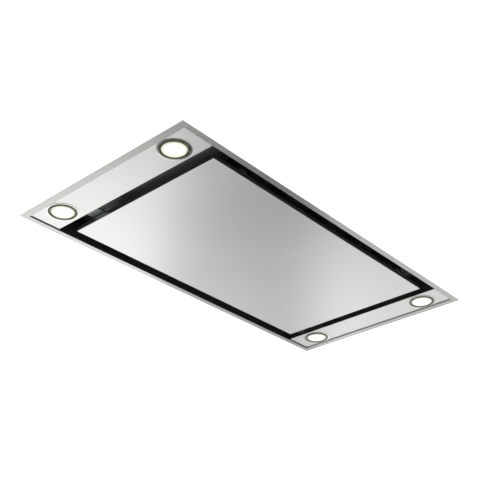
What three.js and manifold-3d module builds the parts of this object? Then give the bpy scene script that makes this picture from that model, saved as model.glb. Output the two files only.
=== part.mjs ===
import * as THREE from "three";
import { mergeVertices } from "three/addons/utils/BufferGeometryUtils.js";
import Module from "manifold-3d";

// Ceiling range hood with suction round the edge of a drop-down panel.
// Millimetres, +Z up, +X along the long side, -Y towards the cook.
// z = 0 is the visible underside; all above the trim frame is hidden in the ceiling.

const wasm = await Module();
wasm.setup();

// ---- Driving sizes -------------------------------------------------------------------

// Overall and shared
const HOOD_LENGTH = 1050;
const HOOD_DEPTH = 520;
const SHEET = 1; // gauge of the folded steel sheet
const SEAT = 0.3; // gap where one piece rests on another
const PIN_PLAY = 0.25; // radial gap between a pin and its hole
const ROUND_SIDES = 48; // sides of a large round
const LAMP_SIDES = 32; // sides of a lamp's rounds
const SMALL_SIDES = 20; // sides of a pin or a small hole
const BEYOND = 5; // how far a cutter runs past the face that it cuts

// Trim frame, the visible rim
const FLANGE_END = 18; // width at the short ends
const FLANGE_SIDE = 14; // width at the long sides
const FLANGE_THICKNESS = 1.5;
const FRAME_UPSTAND = 10;

// Suction box, from the underside to its top plate
const BOX_HEIGHT = 100;

// Slots round the panel
const END_SLOT = 30.8;
const SIDE_SLOT = 28.3;

// Drop-down panel
const PANEL_FOLD = 12; // height of the folded edge
const PANEL_RETURN = 10; // width of the fold's inward return
const PANEL_BACK_INSET = 2;
const PANEL_BACK_SHEET = 1;

// Lamp bays at the two ends
const LAMP_BAY = 81.5; // from the frame's opening to the end slot
const LAMP_PLATE_RECESS = 2.5;
const LAMP_PLATE_GAP = 2.5;
const LAMP_FROM_END = 57.5;
const LAMP_FROM_SIDE = 82;
const BEZEL_RADIUS = 37;
const BEZEL_DEPTH = 2.2;
const BEZEL_RIM = 3.5; // width of the raised outer rim
const BEZEL_EDGE = 0.8; // rounding of the rim
const LENS_RADIUS = 26.5;
const LENS_THICKNESS = 2.4;
const LENS_RECESS = 1.2; // lens face above the bezel's lowest face
const SPIGOT_RADIUS = 32.5; // the bezel's neck through the plate
const LAMP_BODY_RADIUS = 30.5;
const LAMP_BODY_HEIGHT = 26;
const LAMP_FIN_GROOVES = 3;
const LAMP_FIN_DEPTH = 4;

// Grease filters and the plate that holds them
const FILTER_LEVEL = 62; // underside of the carrier plate
const FILTER_COUNT = 3;
const FILTER_BORDER = 20; // plate between two filters
const FILTER_MARGIN = 49; // plate in front of and behind the filters
const FILTER_LIP = 4; // how far a filter's flange laps the plate
const FILTER_PLAY = 1.5;
const FILTER_FLANGE = 1.5;
const FILTER_WALL = 1.2;
const FILTER_HEIGHT = 9;
const FILTER_LEDGE = 6; // inner ledge under the mesh
const PLEAT_PITCH = 12;
const PLEAT_SHEET = 0.8;
const GRIP_LENGTH = 70;
const GRIP_DEPTH = 16;
const GRIP_DROP = 9;
const GRIP_WALL = 3;

// Panel hinges and magnetic catches
const HINGE_INSET = 17.7; // pivot in front of the panel's back edge
const HINGE_HEIGHT = 22; // pivot above the underside
const HINGE_PLATE = 3;
const HINGE_PIN_RADIUS = 4;
const HINGE_EYE = 8; // radius of the steel round the pin
const HINGE_EAR_TOP = 45;
const PIN_HEAD_RADIUS = 6;
const PIN_HEAD = 2;
const ARM_STRAP_FRONT = 78; // strap's front edge in front of the pivot
const ARM_STRAP_WIDTH = 38;
const ARM_STRAP_GRIP = 65; // length of strap that lies on the panel
const CATCH_FROM_END = 95; // from the panel's end to the middle of the catch
const CATCH_WIDTH = 30;
const CATCH_DEPTH = 8;
const CATCH_FOOT = 26;
const CATCH_PLATE = 1.5;
const CATCH_FROM_EDGE = 3.5; // from the panel's front edge to the catch

// Blower: double-inlet wheel in a scroll casing
const WHEEL_RADIUS = 110;
const BLADE_COUNT = 30;
const BLADE_CHORD = 17;
const BLADE_THICKNESS = 1.6;
const BLADE_ANGLE = 35; // degrees off the radius
const WHEEL_RING = 3;
const WHEEL_DISC = 3;
const WHEEL_END_GAP = 8;
const HUB_RADIUS = 14;
const HUB_HEIGHT = 14;
const SHAFT_RADIUS = 5;
const SCROLL_CLEARANCE = 12; // from the wheel to the scroll at its tongue
const SCROLL_GROWTH = 84; // how much the scroll's radius grows round the wheel
const SCROLL_WALL = 2;
const TONGUE_DEGREES = -60;
const THROAT_DEGREES = 270;
const SCROLL_STEP = 10;
const MOTOR_RADIUS = 58;
const MOTOR_HEIGHT = 74;
const MOTOR_GAP = 8; // from the motor to the wheel's disc
const SPIDER_SHEET = 2;
const SPIDER_ARMS = 3;
const SPIDER_ARM_WIDTH = 16;
const SPIDER_LAP = 12; // how far the spider's ring laps the casing
const TOP_INLET_GAP = 28.1; // free height over the casing's upper inlet

// Motor housing and duct collar
const HOUSING_GAP = 11;
const DUCT_DIAMETER = 150;
const DUCT_WALL = 1.5;
const DUCT_LENGTH = 80;
const DUCT_LIP = 8;
const FLAP_SETBACK = 7; // damper pin from the housing's wall
const FLAP_SHEET = 1;
const FLAP_PLAY = 1;
const FLAP_PIN_RADIUS = 2.5;
const KNUCKLE_WALL = 1.5;
const KNUCKLE_LENGTH = 24;
const KNUCKLE_OFFSET = 10;

// Electrics on the top plate
const CONTROL_LENGTH = 180;
const CONTROL_DEPTH = 240;
const CONTROL_HEIGHT = 46;
const CONTROL_WALL = 1.5;
const CONTROL_FROM_HOUSING = 25;
const GLAND_THREAD_RADIUS = 8;
const GLAND_NUT_RADIUS = 12;
const GLAND_LENGTH = 18;
const GLAND_BORE_RADIUS = 4;
const GLAND_FROM_END = 40;
const DRIVER_LENGTH = 150;
const DRIVER_DEPTH = 46;
const DRIVER_HEIGHT = 30;
const DRIVER_EAR = 9;
const DRIVER_EAR_SHEET = 2;
const DRIVER_FROM_HOUSING = 30;
const DRIVER_FROM_CENTRE = 120;

// Brackets that hang the hood from the slab
const BRACKET_WIDTH = 50;
const BRACKET_REACH = 40;
const BRACKET_SHEET = 2;
const BRACKET_HEIGHT = 100;
const BRACKET_INSET = 4; // from the box's corner
const BRACKET_SLOT_WIDTH = 9;
const BRACKET_SLOT_LENGTH = 24;

// ---- Places that follow from the sizes -----------------------------------------------

const openingX = HOOD_LENGTH / 2 - FLANGE_END;
const openingY = HOOD_DEPTH / 2 - FLANGE_SIDE;
const boxInnerX = openingX + SHEET + SEAT;
const boxInnerY = openingY + SHEET + SEAT;
const boxOuterX = boxInnerX + SHEET;
const boxOuterY = boxInnerY + SHEET;
const boxBottom = FLANGE_THICKNESS + SEAT;

const bayX = openingX - LAMP_BAY;
const panelX = bayX - END_SLOT;
const panelY = openingY - SIDE_SLOT;
const panelBackBottom = PANEL_FOLD + SEAT;
const panelBackTop = panelBackBottom + PANEL_BACK_SHEET;

const lampPlateTop = LAMP_PLATE_RECESS + SHEET;
const lampX = HOOD_LENGTH / 2 - LAMP_FROM_END;
const lampY = HOOD_DEPTH / 2 - LAMP_FROM_SIDE;
const bezelTop = LAMP_PLATE_RECESS - SEAT;
const bezelBottom = bezelTop - BEZEL_DEPTH;
const lensBottom = bezelBottom + LENS_RECESS;
const lensTop = lensBottom + LENS_THICKNESS;
const spigotTop = lampPlateTop + SHEET;
const lampBodyBottom = Math.max(lensTop, spigotTop) + SEAT;
const lampBoxTop = FILTER_LEVEL - SEAT;

const cutLength = (2 * bayX - (FILTER_COUNT + 1) * FILTER_BORDER) / FILTER_COUNT;
const cutHalfY = boxInnerY - FILTER_MARGIN;
const filterTop = FILTER_LEVEL - SEAT;
const filterBottom = filterTop - FILTER_FLANGE;

const pivotY = panelY - HINGE_INSET;
const strapBottom = panelBackTop + SEAT;
const strapTop = strapBottom + HINGE_PLATE;
const ear = [bayX - SEAT - HINGE_PLATE, bayX - SEAT];
const leg = [ear[0] - SEAT - HINGE_PLATE, ear[0] - SEAT];

const casingBottom = BOX_HEIGHT + SEAT;
const casingHeight = DUCT_DIAMETER + 2 * (DUCT_LIP + SEAT + SCROLL_WALL);
const casingTop = casingBottom + casingHeight;
const scrollStart = WHEEL_RADIUS + SCROLL_CLEARANCE;
const scrollEnd = scrollStart + SCROLL_GROWTH;
const inletRadius = WHEEL_RADIUS - BLADE_CHORD;
const wheelBottom = casingBottom + SCROLL_WALL + WHEEL_END_GAP;
const wheelTop = casingTop - SCROLL_WALL - WHEEL_END_GAP;
const motorBottom = casingTop - MOTOR_HEIGHT;
const discTop = motorBottom - MOTOR_GAP;
const housingX = scrollEnd + SCROLL_WALL + 2 * HOUSING_GAP;
const housingY = scrollEnd + SCROLL_WALL + HOUSING_GAP + SHEET;
const housingTop = casingTop + TOP_INLET_GAP;

const ductRadius = DUCT_DIAMETER / 2;
const ductY = -(scrollEnd - ductRadius);
const ductZ = casingBottom + casingHeight / 2;
const ductLipX = housingX + SEAT;
const flapX = ductLipX + FLAP_SETBACK;
const flapRadius = ductRadius - DUCT_WALL - FLAP_PLAY;

const controlX = -(housingX + CONTROL_FROM_HOUSING + CONTROL_LENGTH / 2);
const controlBottom = BOX_HEIGHT + SEAT;
const controlTop = controlBottom + CONTROL_HEIGHT;
const glandZ = controlBottom + CONTROL_HEIGHT / 2;
const glandX = controlX - CONTROL_LENGTH / 2 + GLAND_FROM_END;
const driverX = housingX + DRIVER_FROM_HOUSING + DRIVER_LENGTH / 2;

// ---- Finishes ------------------------------------------------------------------------

const finish = (color, roughness, metalness) => ({ color, roughness, metalness });
const BRUSHED_STEEL = finish(0xc9c9c7, 0.35, 1);
const BLACK_PAINT = finish(0x121315, 0.4, 0);
const CHROME = finish(0xb8babd, 0.12, 1);
const FROSTED_LENS = finish(0xfdfef6, 0.25, 0);
const CAST_ALUMINIUM = finish(0x8d9094, 0.5, 1);
const FILTER_ALUMINIUM = finish(0xb9bcc0, 0.4, 1);
const GALVANISED = finish(0xa6abae, 0.45, 1);
const DARK_PLASTIC = finish(0x26282b, 0.55, 0);
const GREY_PLASTIC = finish(0x6d7276, 0.6, 0);
const ZINC_STEEL = finish(0x9da1a5, 0.4, 1);

// ---- Building blocks -----------------------------------------------------------------

const hood = new THREE.Group();

// Turns a closed geometry into a solid that can be joined and cut.
function solid(geometry) {
  const bare = geometry.index ? geometry.toNonIndexed() : geometry.clone();
  bare.deleteAttribute("normal");
  bare.deleteAttribute("uv");
  const merged = mergeVertices(bare, 1e-4);
  const mesh = new wasm.Mesh({
    numProp: 3,
    vertProperties: merged.attributes.position.array,
    triVerts: new Uint32Array(merged.index.array),
  });
  return new wasm.Manifold(mesh);
}

// Adds a solid to the hood as a named piece.
function piece(name, body, look) {
  const { vertProperties, triVerts } = body.getMesh();
  const geometry = new THREE.BufferGeometry();
  geometry.setAttribute("position", new THREE.BufferAttribute(new Float32Array(vertProperties), 3));
  geometry.setIndex(new THREE.BufferAttribute(new Uint32Array(triVerts), 1));
  geometry.computeVertexNormals();
  const mesh = new THREE.Mesh(geometry, new THREE.MeshStandardMaterial(look));
  mesh.name = name;
  hood.add(mesh);
}

const joined = (parts) => parts.reduce((whole, part) => whole.add(part));

// A range on the given side of zero: side 1 gives [low, high] and side -1 its mirror image.
const mirrored = (side, [low, high]) => (side > 0 ? [low, high] : [-high, -low]);
const across = (half) => [-half, half];
const about = (centre, size) => [centre - size / 2, centre + size / 2];

// A rectangular block from its ranges in X, Y and Z.
function block(xRange, yRange, zRange) {
  const geometry = new THREE.BoxGeometry(2, 2, 2);
  const corners = geometry.attributes.position;
  const pick = (range, sign) => (sign < 0 ? range[0] : range[1]);
  for (let i = 0; i < corners.count; i++) {
    const x = pick(xRange, corners.getX(i));
    const y = pick(yRange, corners.getY(i));
    corners.setXYZ(i, x, y, pick(zRange, corners.getZ(i)));
  }
  return solid(geometry);
}

// A piece turned about the Z axis from [radius, height] points.
function turned(profile, sides = ROUND_SIDES) {
  const points = profile.map(([radius, height]) => new THREE.Vector2(radius, height));
  return solid(new THREE.LatheGeometry(points, sides).rotateX(Math.PI / 2));
}

function disc(radius, [low, high], sides = ROUND_SIDES) {
  return turned([[0, low], [radius, low], [radius, high], [0, high]], sides);
}

function ring(inner, outer, [low, high], sides = ROUND_SIDES) {
  return turned([[outer, low], [outer, high], [inner, high], [inner, low], [outer, low]], sides);
}

// A flat outline of [x, y] points, made as thick as the range in Z.
function prism(outline, [low, high]) {
  const shape = new THREE.Shape(outline.map(([x, y]) => new THREE.Vector2(x, y)));
  const geometry = new THREE.ExtrudeGeometry(shape, { depth: high - low, bevelEnabled: false });
  return solid(geometry.translate(0, 0, low));
}

// Turns a piece made along Z so that it lies along X or Y.
const alongX = (body) => body.rotate([0, 90, 0]);
const alongY = (body) => body.rotate([-90, 0, 0]);

// ---- Trim frame, suction box and lamp bays ---------------------------------------------

function trimFrame() {
  const through = [-BEYOND, FLANGE_THICKNESS + BEYOND];
  const plate = block(across(HOOD_LENGTH / 2), across(HOOD_DEPTH / 2), [0, FLANGE_THICKNESS]);
  const flange = plate.subtract(block(across(openingX), across(openingY), through));
  const upstands = [-1, 1].map((side) =>
    block(mirrored(side, [openingX, openingX + SHEET]), across(openingY), [0, FRAME_UPSTAND]),
  );
  piece("trim_frame", joined([flange, ...upstands]), BRUSHED_STEEL);
}

// The box is a band of four walls with a top plate, holed for the fan, on its upper edge.
function suctionBox() {
  const plateBottom = BOX_HEIGHT - SHEET;
  const outside = block(across(boxOuterX), across(boxOuterY), [boxBottom, plateBottom - SEAT]);
  const inside = block(across(boxInnerX), across(boxInnerY), [0, BOX_HEIGHT]);
  piece("suction_box", outside.subtract(inside), BLACK_PAINT);
  const plate = block(across(boxOuterX), across(boxOuterY), [plateBottom, BOX_HEIGHT]);
  const inlet = disc(inletRadius, [BOX_HEIGHT - BEYOND, BOX_HEIGHT + BEYOND]);
  piece("suction_box_top", plate.subtract(inlet), BLACK_PAINT);
}

function lampBay(side, name) {
  const wall = block(
    mirrored(side, [bayX, bayX + SHEET]),
    across(boxInnerY - SEAT),
    [lampPlateTop + SEAT, lampBoxTop],
  );
  const roof = block(
    mirrored(side, [bayX, boxInnerX - SEAT]),
    across(boxInnerY - SEAT),
    [lampBoxTop - SHEET, lampBoxTop],
  );
  piece("lamp_box_" + name, wall.add(roof), BLACK_PAINT);

  const plate = block(
    mirrored(side, [bayX, openingX - SEAT]),
    across(openingY - LAMP_PLATE_GAP),
    [LAMP_PLATE_RECESS, lampPlateTop],
  );
  const hole = disc(SPIGOT_RADIUS + SEAT, [0, lampPlateTop + BEYOND], LAMP_SIDES);
  const holes = [-1, 1].map((end) => hole.translate([side * lampX, end * lampY, 0]));
  piece("lamp_plate_" + name, plate.subtract(joined(holes)), BRUSHED_STEEL);
}

function bezel() {
  const funnelTop = lensBottom - SEAT / 2;
  const profile = [
    [LENS_RADIUS + SEAT, spigotTop],
    [LENS_RADIUS + SEAT, funnelTop],
    [BEZEL_RADIUS - BEZEL_RIM, bezelBottom + BEZEL_EDGE],
    [BEZEL_RADIUS - BEZEL_RIM + BEZEL_EDGE, bezelBottom],
    [BEZEL_RADIUS - BEZEL_EDGE, bezelBottom],
    [BEZEL_RADIUS, bezelBottom + BEZEL_EDGE],
    [BEZEL_RADIUS, bezelTop],
    [SPIGOT_RADIUS, bezelTop],
    [SPIGOT_RADIUS, spigotTop],
    [LENS_RADIUS + SEAT, spigotTop],
  ];
  return turned(profile, LAMP_SIDES);
}

// The lamp's cast body, with cooling fins cut in as grooves.
function lampBody() {
  const top = lampBodyBottom + LAMP_BODY_HEIGHT;
  const pitch = LAMP_BODY_HEIGHT / (2 * LAMP_FIN_GROOVES + 1);
  const [inner, outer] = [LAMP_BODY_RADIUS - LAMP_FIN_DEPTH, LAMP_BODY_RADIUS + BEYOND];
  const groove = ring(inner, outer, [0, pitch], SMALL_SIDES);
  const grooves = Array.from({ length: LAMP_FIN_GROOVES }, (_, i) =>
    groove.translate([0, 0, lampBodyBottom + (2 * i + 1) * pitch]),
  );
  return disc(LAMP_BODY_RADIUS, [lampBodyBottom, top], SMALL_SIDES).subtract(joined(grooves));
}

function lamps() {
  const places = [[-1, -1], [1, -1], [-1, 1], [1, 1]];
  places.forEach(([sideX, sideY], i) => {
    const place = [sideX * lampX, sideY * lampY, 0];
    const lens = disc(LENS_RADIUS, [lensBottom, lensTop], LAMP_SIDES);
    piece("lamp_bezel_" + (i + 1), bezel().translate(place), CHROME);
    piece("lamp_lens_" + (i + 1), lens.translate(place), FROSTED_LENS);
    piece("lamp_body_" + (i + 1), lampBody().translate(place), CAST_ALUMINIUM);
  });
}

// ---- Drop-down panel with its hinges and catches ---------------------------------------

function panel() {
  const outside = block(across(panelX), across(panelY), [0, PANEL_FOLD]);
  const hollow = block(across(panelX - SHEET), across(panelY - SHEET), [SHEET, PANEL_FOLD - SHEET]);
  const mouth = block(
    across(panelX - PANEL_RETURN),
    across(panelY - PANEL_RETURN),
    [SHEET, PANEL_FOLD + BEYOND],
  );
  piece("panel_skin", outside.subtract(hollow).subtract(mouth), BRUSHED_STEEL);
  const back = block(
    across(panelX - PANEL_BACK_INSET),
    across(panelY - PANEL_BACK_INSET),
    [panelBackBottom, panelBackTop],
  );
  piece("panel_back", back, BLACK_PAINT);
}

// A pin hole or an eye along X at the panel's pivot.
function atPivot(radius, [low, high]) {
  const body = alongX(disc(radius, [low, high], SMALL_SIDES));
  return body.translate([0, pivotY, HINGE_HEIGHT]);
}

function hinge(side, name) {
  const pinHole = atPivot(HINGE_PIN_RADIUS + PIN_PLAY, across(HOOD_LENGTH / 2));

  const frontEdge = pivotY - ARM_STRAP_FRONT;
  const strap = block(
    mirrored(side, [panelX - ARM_STRAP_GRIP, leg[1]]),
    [frontEdge, frontEdge + ARM_STRAP_WIDTH],
    [strapBottom, strapTop],
  );
  const legX = mirrored(side, leg);
  const shank = block(legX, [frontEdge, pivotY], [strapBottom, HINGE_HEIGHT + HINGE_EYE]);
  const arm = joined([strap, shank, atPivot(HINGE_EYE, legX)]);
  piece("hinge_arm_" + name, arm.subtract(pinHole), ZINC_STEEL);

  const earPlate = block(
    mirrored(side, ear),
    about(pivotY, 2 * (HINGE_EYE + HINGE_PLATE)),
    [HINGE_HEIGHT - HINGE_EYE - HINGE_PLATE, HINGE_EAR_TOP],
  );
  piece("hinge_bracket_" + name, earPlate.subtract(pinHole), ZINC_STEEL);

  const pin = atPivot(HINGE_PIN_RADIUS, mirrored(side, [leg[0] - SEAT - PIN_HEAD, ear[1]]));
  const head = atPivot(PIN_HEAD_RADIUS, mirrored(side, [leg[0] - SEAT - PIN_HEAD, leg[0] - SEAT]));
  piece("hinge_pin_" + name, pin.add(head), ZINC_STEEL);
}

function magneticCatch(side, name) {
  const front = -(panelY - CATCH_FROM_EDGE);
  const wide = about(side * (panelX - CATCH_FROM_END), CATCH_WIDTH);
  const strikeTop = strapBottom + CATCH_PLATE;
  const deep = [front, front + CATCH_DEPTH];
  const post = block(wide, deep, [strikeTop + SEAT, filterTop]);
  const foot = block(
    wide,
    [front + CATCH_DEPTH - CATCH_FOOT, front + CATCH_DEPTH],
    [filterTop - CATCH_PLATE, filterTop],
  );
  piece("catch_" + name, post.add(foot), DARK_PLASTIC);
  piece("catch_strike_" + name, block(wide, deep, [strapBottom, strikeTop]), ZINC_STEEL);
}

// ---- Grease filters ----------------------------------------------------------------------

const filterX = (i) => (i - (FILTER_COUNT - 1) / 2) * (cutLength + FILTER_BORDER);

function filterCarrier() {
  const level = [FILTER_LEVEL, FILTER_LEVEL + SHEET];
  const plate = block(across(boxInnerX - SEAT), across(boxInnerY - SEAT), level);
  const cuts = Array.from({ length: FILTER_COUNT }, (_, i) =>
    block(about(filterX(i), cutLength), across(cutHalfY), [FILTER_LEVEL - BEYOND, filterTop + BEYOND]),
  );
  piece("filter_carrier", plate.subtract(joined(cuts)), BLACK_PAINT);
}

// A zigzag sheet of the given half width, standing on height low.
function pleats(halfWidth, low, high) {
  const count = Math.floor(halfWidth / PLEAT_PITCH) * 2;
  const step = (2 * halfWidth) / count;
  const lower = Array.from({ length: count + 1 }, (_, i) => [
    i * step - halfWidth,
    i % 2 ? high - PLEAT_SHEET : low,
  ]);
  const upper = lower.map(([x, z]) => [x, z + PLEAT_SHEET]).reverse();
  return [...lower, ...upper];
}

function greaseFilter(i) {
  const place = [filterX(i), 0, 0];
  const halfX = cutLength / 2 - FILTER_PLAY;
  const halfY = cutHalfY - FILTER_PLAY;
  const innerX = halfX - FILTER_WALL;
  const innerY = halfY - FILTER_WALL;
  const flangeX = cutLength / 2 + FILTER_LIP;
  const flangeY = cutHalfY + FILTER_LIP;
  const ledgeX = innerX - FILTER_LEDGE;
  const ledgeY = innerY - FILTER_LEDGE;
  const tall = [filterBottom, filterBottom + FILTER_HEIGHT];
  const cut = [filterBottom - BEYOND, filterBottom + FILTER_HEIGHT + BEYOND];

  const flange = block(across(flangeX), across(flangeY), [filterBottom, filterTop]);
  const rim = flange.subtract(block(across(ledgeX), across(ledgeY), cut));
  const wall = block(across(halfX), across(halfY), tall).subtract(
    block(across(innerX), across(innerY), cut),
  );
  piece("filter_frame_" + (i + 1), rim.add(wall).translate(place), FILTER_ALUMINIUM);

  const meshLow = filterTop + SEAT;
  const zigzag = pleats(innerX - SEAT, meshLow, filterBottom + FILTER_HEIGHT - SEAT);
  const mesh = prism(zigzag, across(innerY - SEAT)).rotate([90, 0, 0]);
  piece("filter_mesh_" + (i + 1), mesh.translate(place), FILTER_ALUMINIUM);
  piece("filter_grip_" + (i + 1), grip().translate(place), DARK_PLASTIC);
}

// A moulded pull lip under the front end of a filter.
function grip() {
  const top = filterBottom - SEAT;
  const back = -(cutHalfY - FILTER_LEDGE);
  const base = block(across(GRIP_LENGTH / 2), [back - GRIP_WALL, back + GRIP_DEPTH], [top - GRIP_WALL, top]);
  const web = block(across(GRIP_LENGTH / 2), [back - GRIP_WALL, back], [top - GRIP_DROP, top]);
  const lip = block(
    across(GRIP_LENGTH / 2),
    [back - GRIP_WALL, back + GRIP_DEPTH / 2],
    [top - GRIP_DROP, top - GRIP_DROP + GRIP_WALL / 2],
  );
  return joined([base, web, lip]);
}

// ---- Blower --------------------------------------------------------------------------------

const radians = (degrees) => (degrees * Math.PI) / 180;

// The scroll's outline: its radius grows steadily from the tongue to the throat.
function scrollOutline(offset) {
  const sweep = THROAT_DEGREES - TONGUE_DEGREES;
  const steps = Math.round(sweep / SCROLL_STEP);
  return Array.from({ length: steps + 1 }, (_, i) => {
    const angle = radians(TONGUE_DEGREES + (sweep * i) / steps);
    const radius = scrollStart + (SCROLL_GROWTH * i) / steps + offset;
    return [radius * Math.cos(angle), radius * Math.sin(angle)];
  });
}

// The straight duct from the scroll to the housing's wall.
function throatOutline(offset, endX) {
  const tongue = radians(TONGUE_DEGREES);
  return [
    [0, -scrollStart / 2],
    [0, -scrollEnd - offset],
    [endX, -scrollEnd - offset],
    [endX, -scrollEnd + DUCT_DIAMETER + offset],
    [scrollStart * Math.cos(tongue), scrollStart * Math.sin(tongue) + offset],
  ];
}

function fanCasing() {
  const endX = housingX - SHEET - SEAT;
  const tall = [casingBottom, casingTop];
  const hollow = [casingBottom + SCROLL_WALL, casingTop - SCROLL_WALL];
  const outside = prism(scrollOutline(SCROLL_WALL), tall).add(
    prism(throatOutline(SCROLL_WALL, endX), tall),
  );
  const inside = prism(scrollOutline(0), hollow).add(
    prism(throatOutline(0, endX + BEYOND), hollow),
  );
  const inlets = disc(inletRadius, [casingBottom - BEYOND, casingTop + BEYOND]);
  piece("fan_casing", outside.subtract(inside).subtract(inlets), DARK_PLASTIC);
}

function fanWheel() {
  const blade = block(
    about(WHEEL_RADIUS - BLADE_CHORD / 2, BLADE_CHORD),
    about(0, BLADE_THICKNESS),
    [wheelBottom, wheelTop],
  );
  const middle = WHEEL_RADIUS - BLADE_CHORD / 2;
  const tilted = blade.translate([-middle, 0, 0]).rotate([0, 0, BLADE_ANGLE]).translate([middle, 0, 0]);
  const blades = Array.from({ length: BLADE_COUNT }, (_, i) =>
    tilted.rotate([0, 0, (i * 360) / BLADE_COUNT]),
  );
  const low = ring(inletRadius, WHEEL_RADIUS, [wheelBottom, wheelBottom + WHEEL_RING]);
  const high = ring(inletRadius, WHEEL_RADIUS, [wheelTop - WHEEL_RING, wheelTop]);
  const plate = disc(middle, [discTop - WHEEL_DISC, discTop]);
  const hub = disc(HUB_RADIUS, [discTop - HUB_HEIGHT, discTop], SMALL_SIDES);
  const bore = disc(SHAFT_RADIUS + SEAT, [discTop - HUB_HEIGHT - BEYOND, discTop + BEYOND], SMALL_SIDES);
  const wheel = joined([...blades, low, high, plate, hub]).subtract(bore);
  piece("fan_wheel", wheel, GREY_PLASTIC);
  const shaft = disc(SHAFT_RADIUS, [discTop - HUB_HEIGHT, casingTop - SEAT], SMALL_SIDES);
  piece("fan_shaft", shaft, ZINC_STEEL);
}

function fanMotor() {
  const can = ring(SHAFT_RADIUS + SEAT, MOTOR_RADIUS, [motorBottom, casingTop]);
  piece("fan_motor", can, CAST_ALUMINIUM);

  const level = [casingTop + SEAT, casingTop + SEAT + SPIDER_SHEET];
  const outer = inletRadius + SPIDER_LAP;
  const arm = block([0, inletRadius], about(0, SPIDER_ARM_WIDTH), level);
  const arms = Array.from({ length: SPIDER_ARMS }, (_, i) => arm.rotate([0, 0, (i * 360) / SPIDER_ARMS]));
  const spider = joined([disc(MOTOR_RADIUS, level), ring(inletRadius - SEAT, outer, level), ...arms]);
  piece("motor_mount", spider, ZINC_STEEL);
}

function motorHousing() {
  const outside = block(across(housingX), across(housingY), [casingBottom, housingTop]);
  const inside = block(
    across(housingX - SHEET),
    across(housingY - SHEET),
    [casingBottom - BEYOND, housingTop - SHEET],
  );
  const outlet = alongX(disc(ductRadius - DUCT_WALL, [0, housingX + BEYOND]));
  const shell = outside.subtract(inside).subtract(outlet.translate([0, ductY, ductZ]));
  piece("motor_housing", shell, GALVANISED);
}

// ---- Duct collar and non-return flaps ------------------------------------------------------

function ductCollar() {
  const inner = ductRadius - DUCT_WALL;
  const collar = turned([
    [inner, 0],
    [ductRadius + DUCT_LIP, 0],
    [ductRadius + DUCT_LIP, DUCT_WALL],
    [ductRadius, DUCT_WALL],
    [ductRadius, DUCT_LENGTH],
    [inner, DUCT_LENGTH],
    [inner, 0],
  ]);
  piece("duct_collar", alongX(collar).translate([ductLipX, ductY, ductZ]), GREY_PLASTIC);
  const pin = disc(FLAP_PIN_RADIUS, across(inner - SEAT), SMALL_SIDES);
  piece("damper_pin", pin.translate([flapX, ductY, ductZ]), ZINC_STEEL);
}

// Half a disc hung on the vertical pin by one knuckle; side says which way it reaches in Y.
function damperFlap(side, name) {
  const knuckleRadius = FLAP_PIN_RADIUS + PIN_PLAY + KNUCKLE_WALL;
  const edge = knuckleRadius + SEAT;
  const round = alongX(disc(flapRadius, about(0, FLAP_SHEET)));
  const half = block(across(FLAP_SHEET), mirrored(side, [edge, ductRadius]), across(ductRadius));
  const tall = about(side * (KNUCKLE_OFFSET + KNUCKLE_LENGTH / 2), KNUCKLE_LENGTH);
  const knuckle = ring(FLAP_PIN_RADIUS + PIN_PLAY, knuckleRadius, tall, SMALL_SIDES);
  const root = FLAP_PIN_RADIUS + PIN_PLAY + KNUCKLE_WALL / 2;
  const web = block(about(0, FLAP_SHEET), mirrored(side, [root, edge + KNUCKLE_WALL]), tall);
  const flap = joined([round.intersect(half), web, knuckle]);
  piece("damper_flap_" + name, flap.translate([flapX, ductY, ductZ]), FILTER_ALUMINIUM);
}

// ---- Electrics -----------------------------------------------------------------------------

function controlBox() {
  const wide = about(controlX, CONTROL_LENGTH);
  const deep = across(CONTROL_DEPTH / 2);
  const inset = 2 * CONTROL_WALL;
  const tray = block(wide, deep, [controlBottom, controlTop]).subtract(
    block(
      about(controlX, CONTROL_LENGTH - inset),
      across(CONTROL_DEPTH / 2 - CONTROL_WALL),
      [controlBottom + CONTROL_WALL, controlTop + BEYOND],
    ),
  );
  const hole = alongY(disc(GLAND_THREAD_RADIUS + PIN_PLAY, [0, CONTROL_DEPTH], SMALL_SIDES));
  piece("control_box", tray.subtract(hole.translate([glandX, 0, glandZ])), DARK_PLASTIC);
  const lid = block(wide, deep, [controlTop + SEAT, controlTop + SEAT + CONTROL_WALL]);
  piece("control_box_lid", lid, DARK_PLASTIC);

  const wallInside = CONTROL_DEPTH / 2 - CONTROL_WALL;
  const nutStart = CONTROL_DEPTH / 2 + SEAT;
  const gland = turned([
    [GLAND_BORE_RADIUS, wallInside],
    [GLAND_THREAD_RADIUS, wallInside],
    [GLAND_THREAD_RADIUS, nutStart],
    [GLAND_NUT_RADIUS, nutStart],
    [GLAND_NUT_RADIUS, nutStart + GLAND_LENGTH / 2],
    [GLAND_THREAD_RADIUS, nutStart + GLAND_LENGTH],
    [GLAND_BORE_RADIUS, nutStart + GLAND_LENGTH],
    [GLAND_BORE_RADIUS, wallInside],
  ], SMALL_SIDES);
  piece("cable_gland", alongY(gland).translate([glandX, 0, glandZ]), GREY_PLASTIC);
}

function lampDriver() {
  const can = block(
    about(driverX, DRIVER_LENGTH),
    about(DRIVER_FROM_CENTRE, DRIVER_DEPTH),
    [controlBottom, controlBottom + DRIVER_HEIGHT],
  );
  const ears = block(
    about(driverX, DRIVER_LENGTH + 2 * DRIVER_EAR),
    about(DRIVER_FROM_CENTRE, DRIVER_DEPTH),
    [controlBottom, controlBottom + DRIVER_EAR_SHEET],
  );
  piece("lamp_driver", can.add(ears), GREY_PLASTIC);
}

// ---- Suspension brackets ---------------------------------------------------------------------

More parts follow.
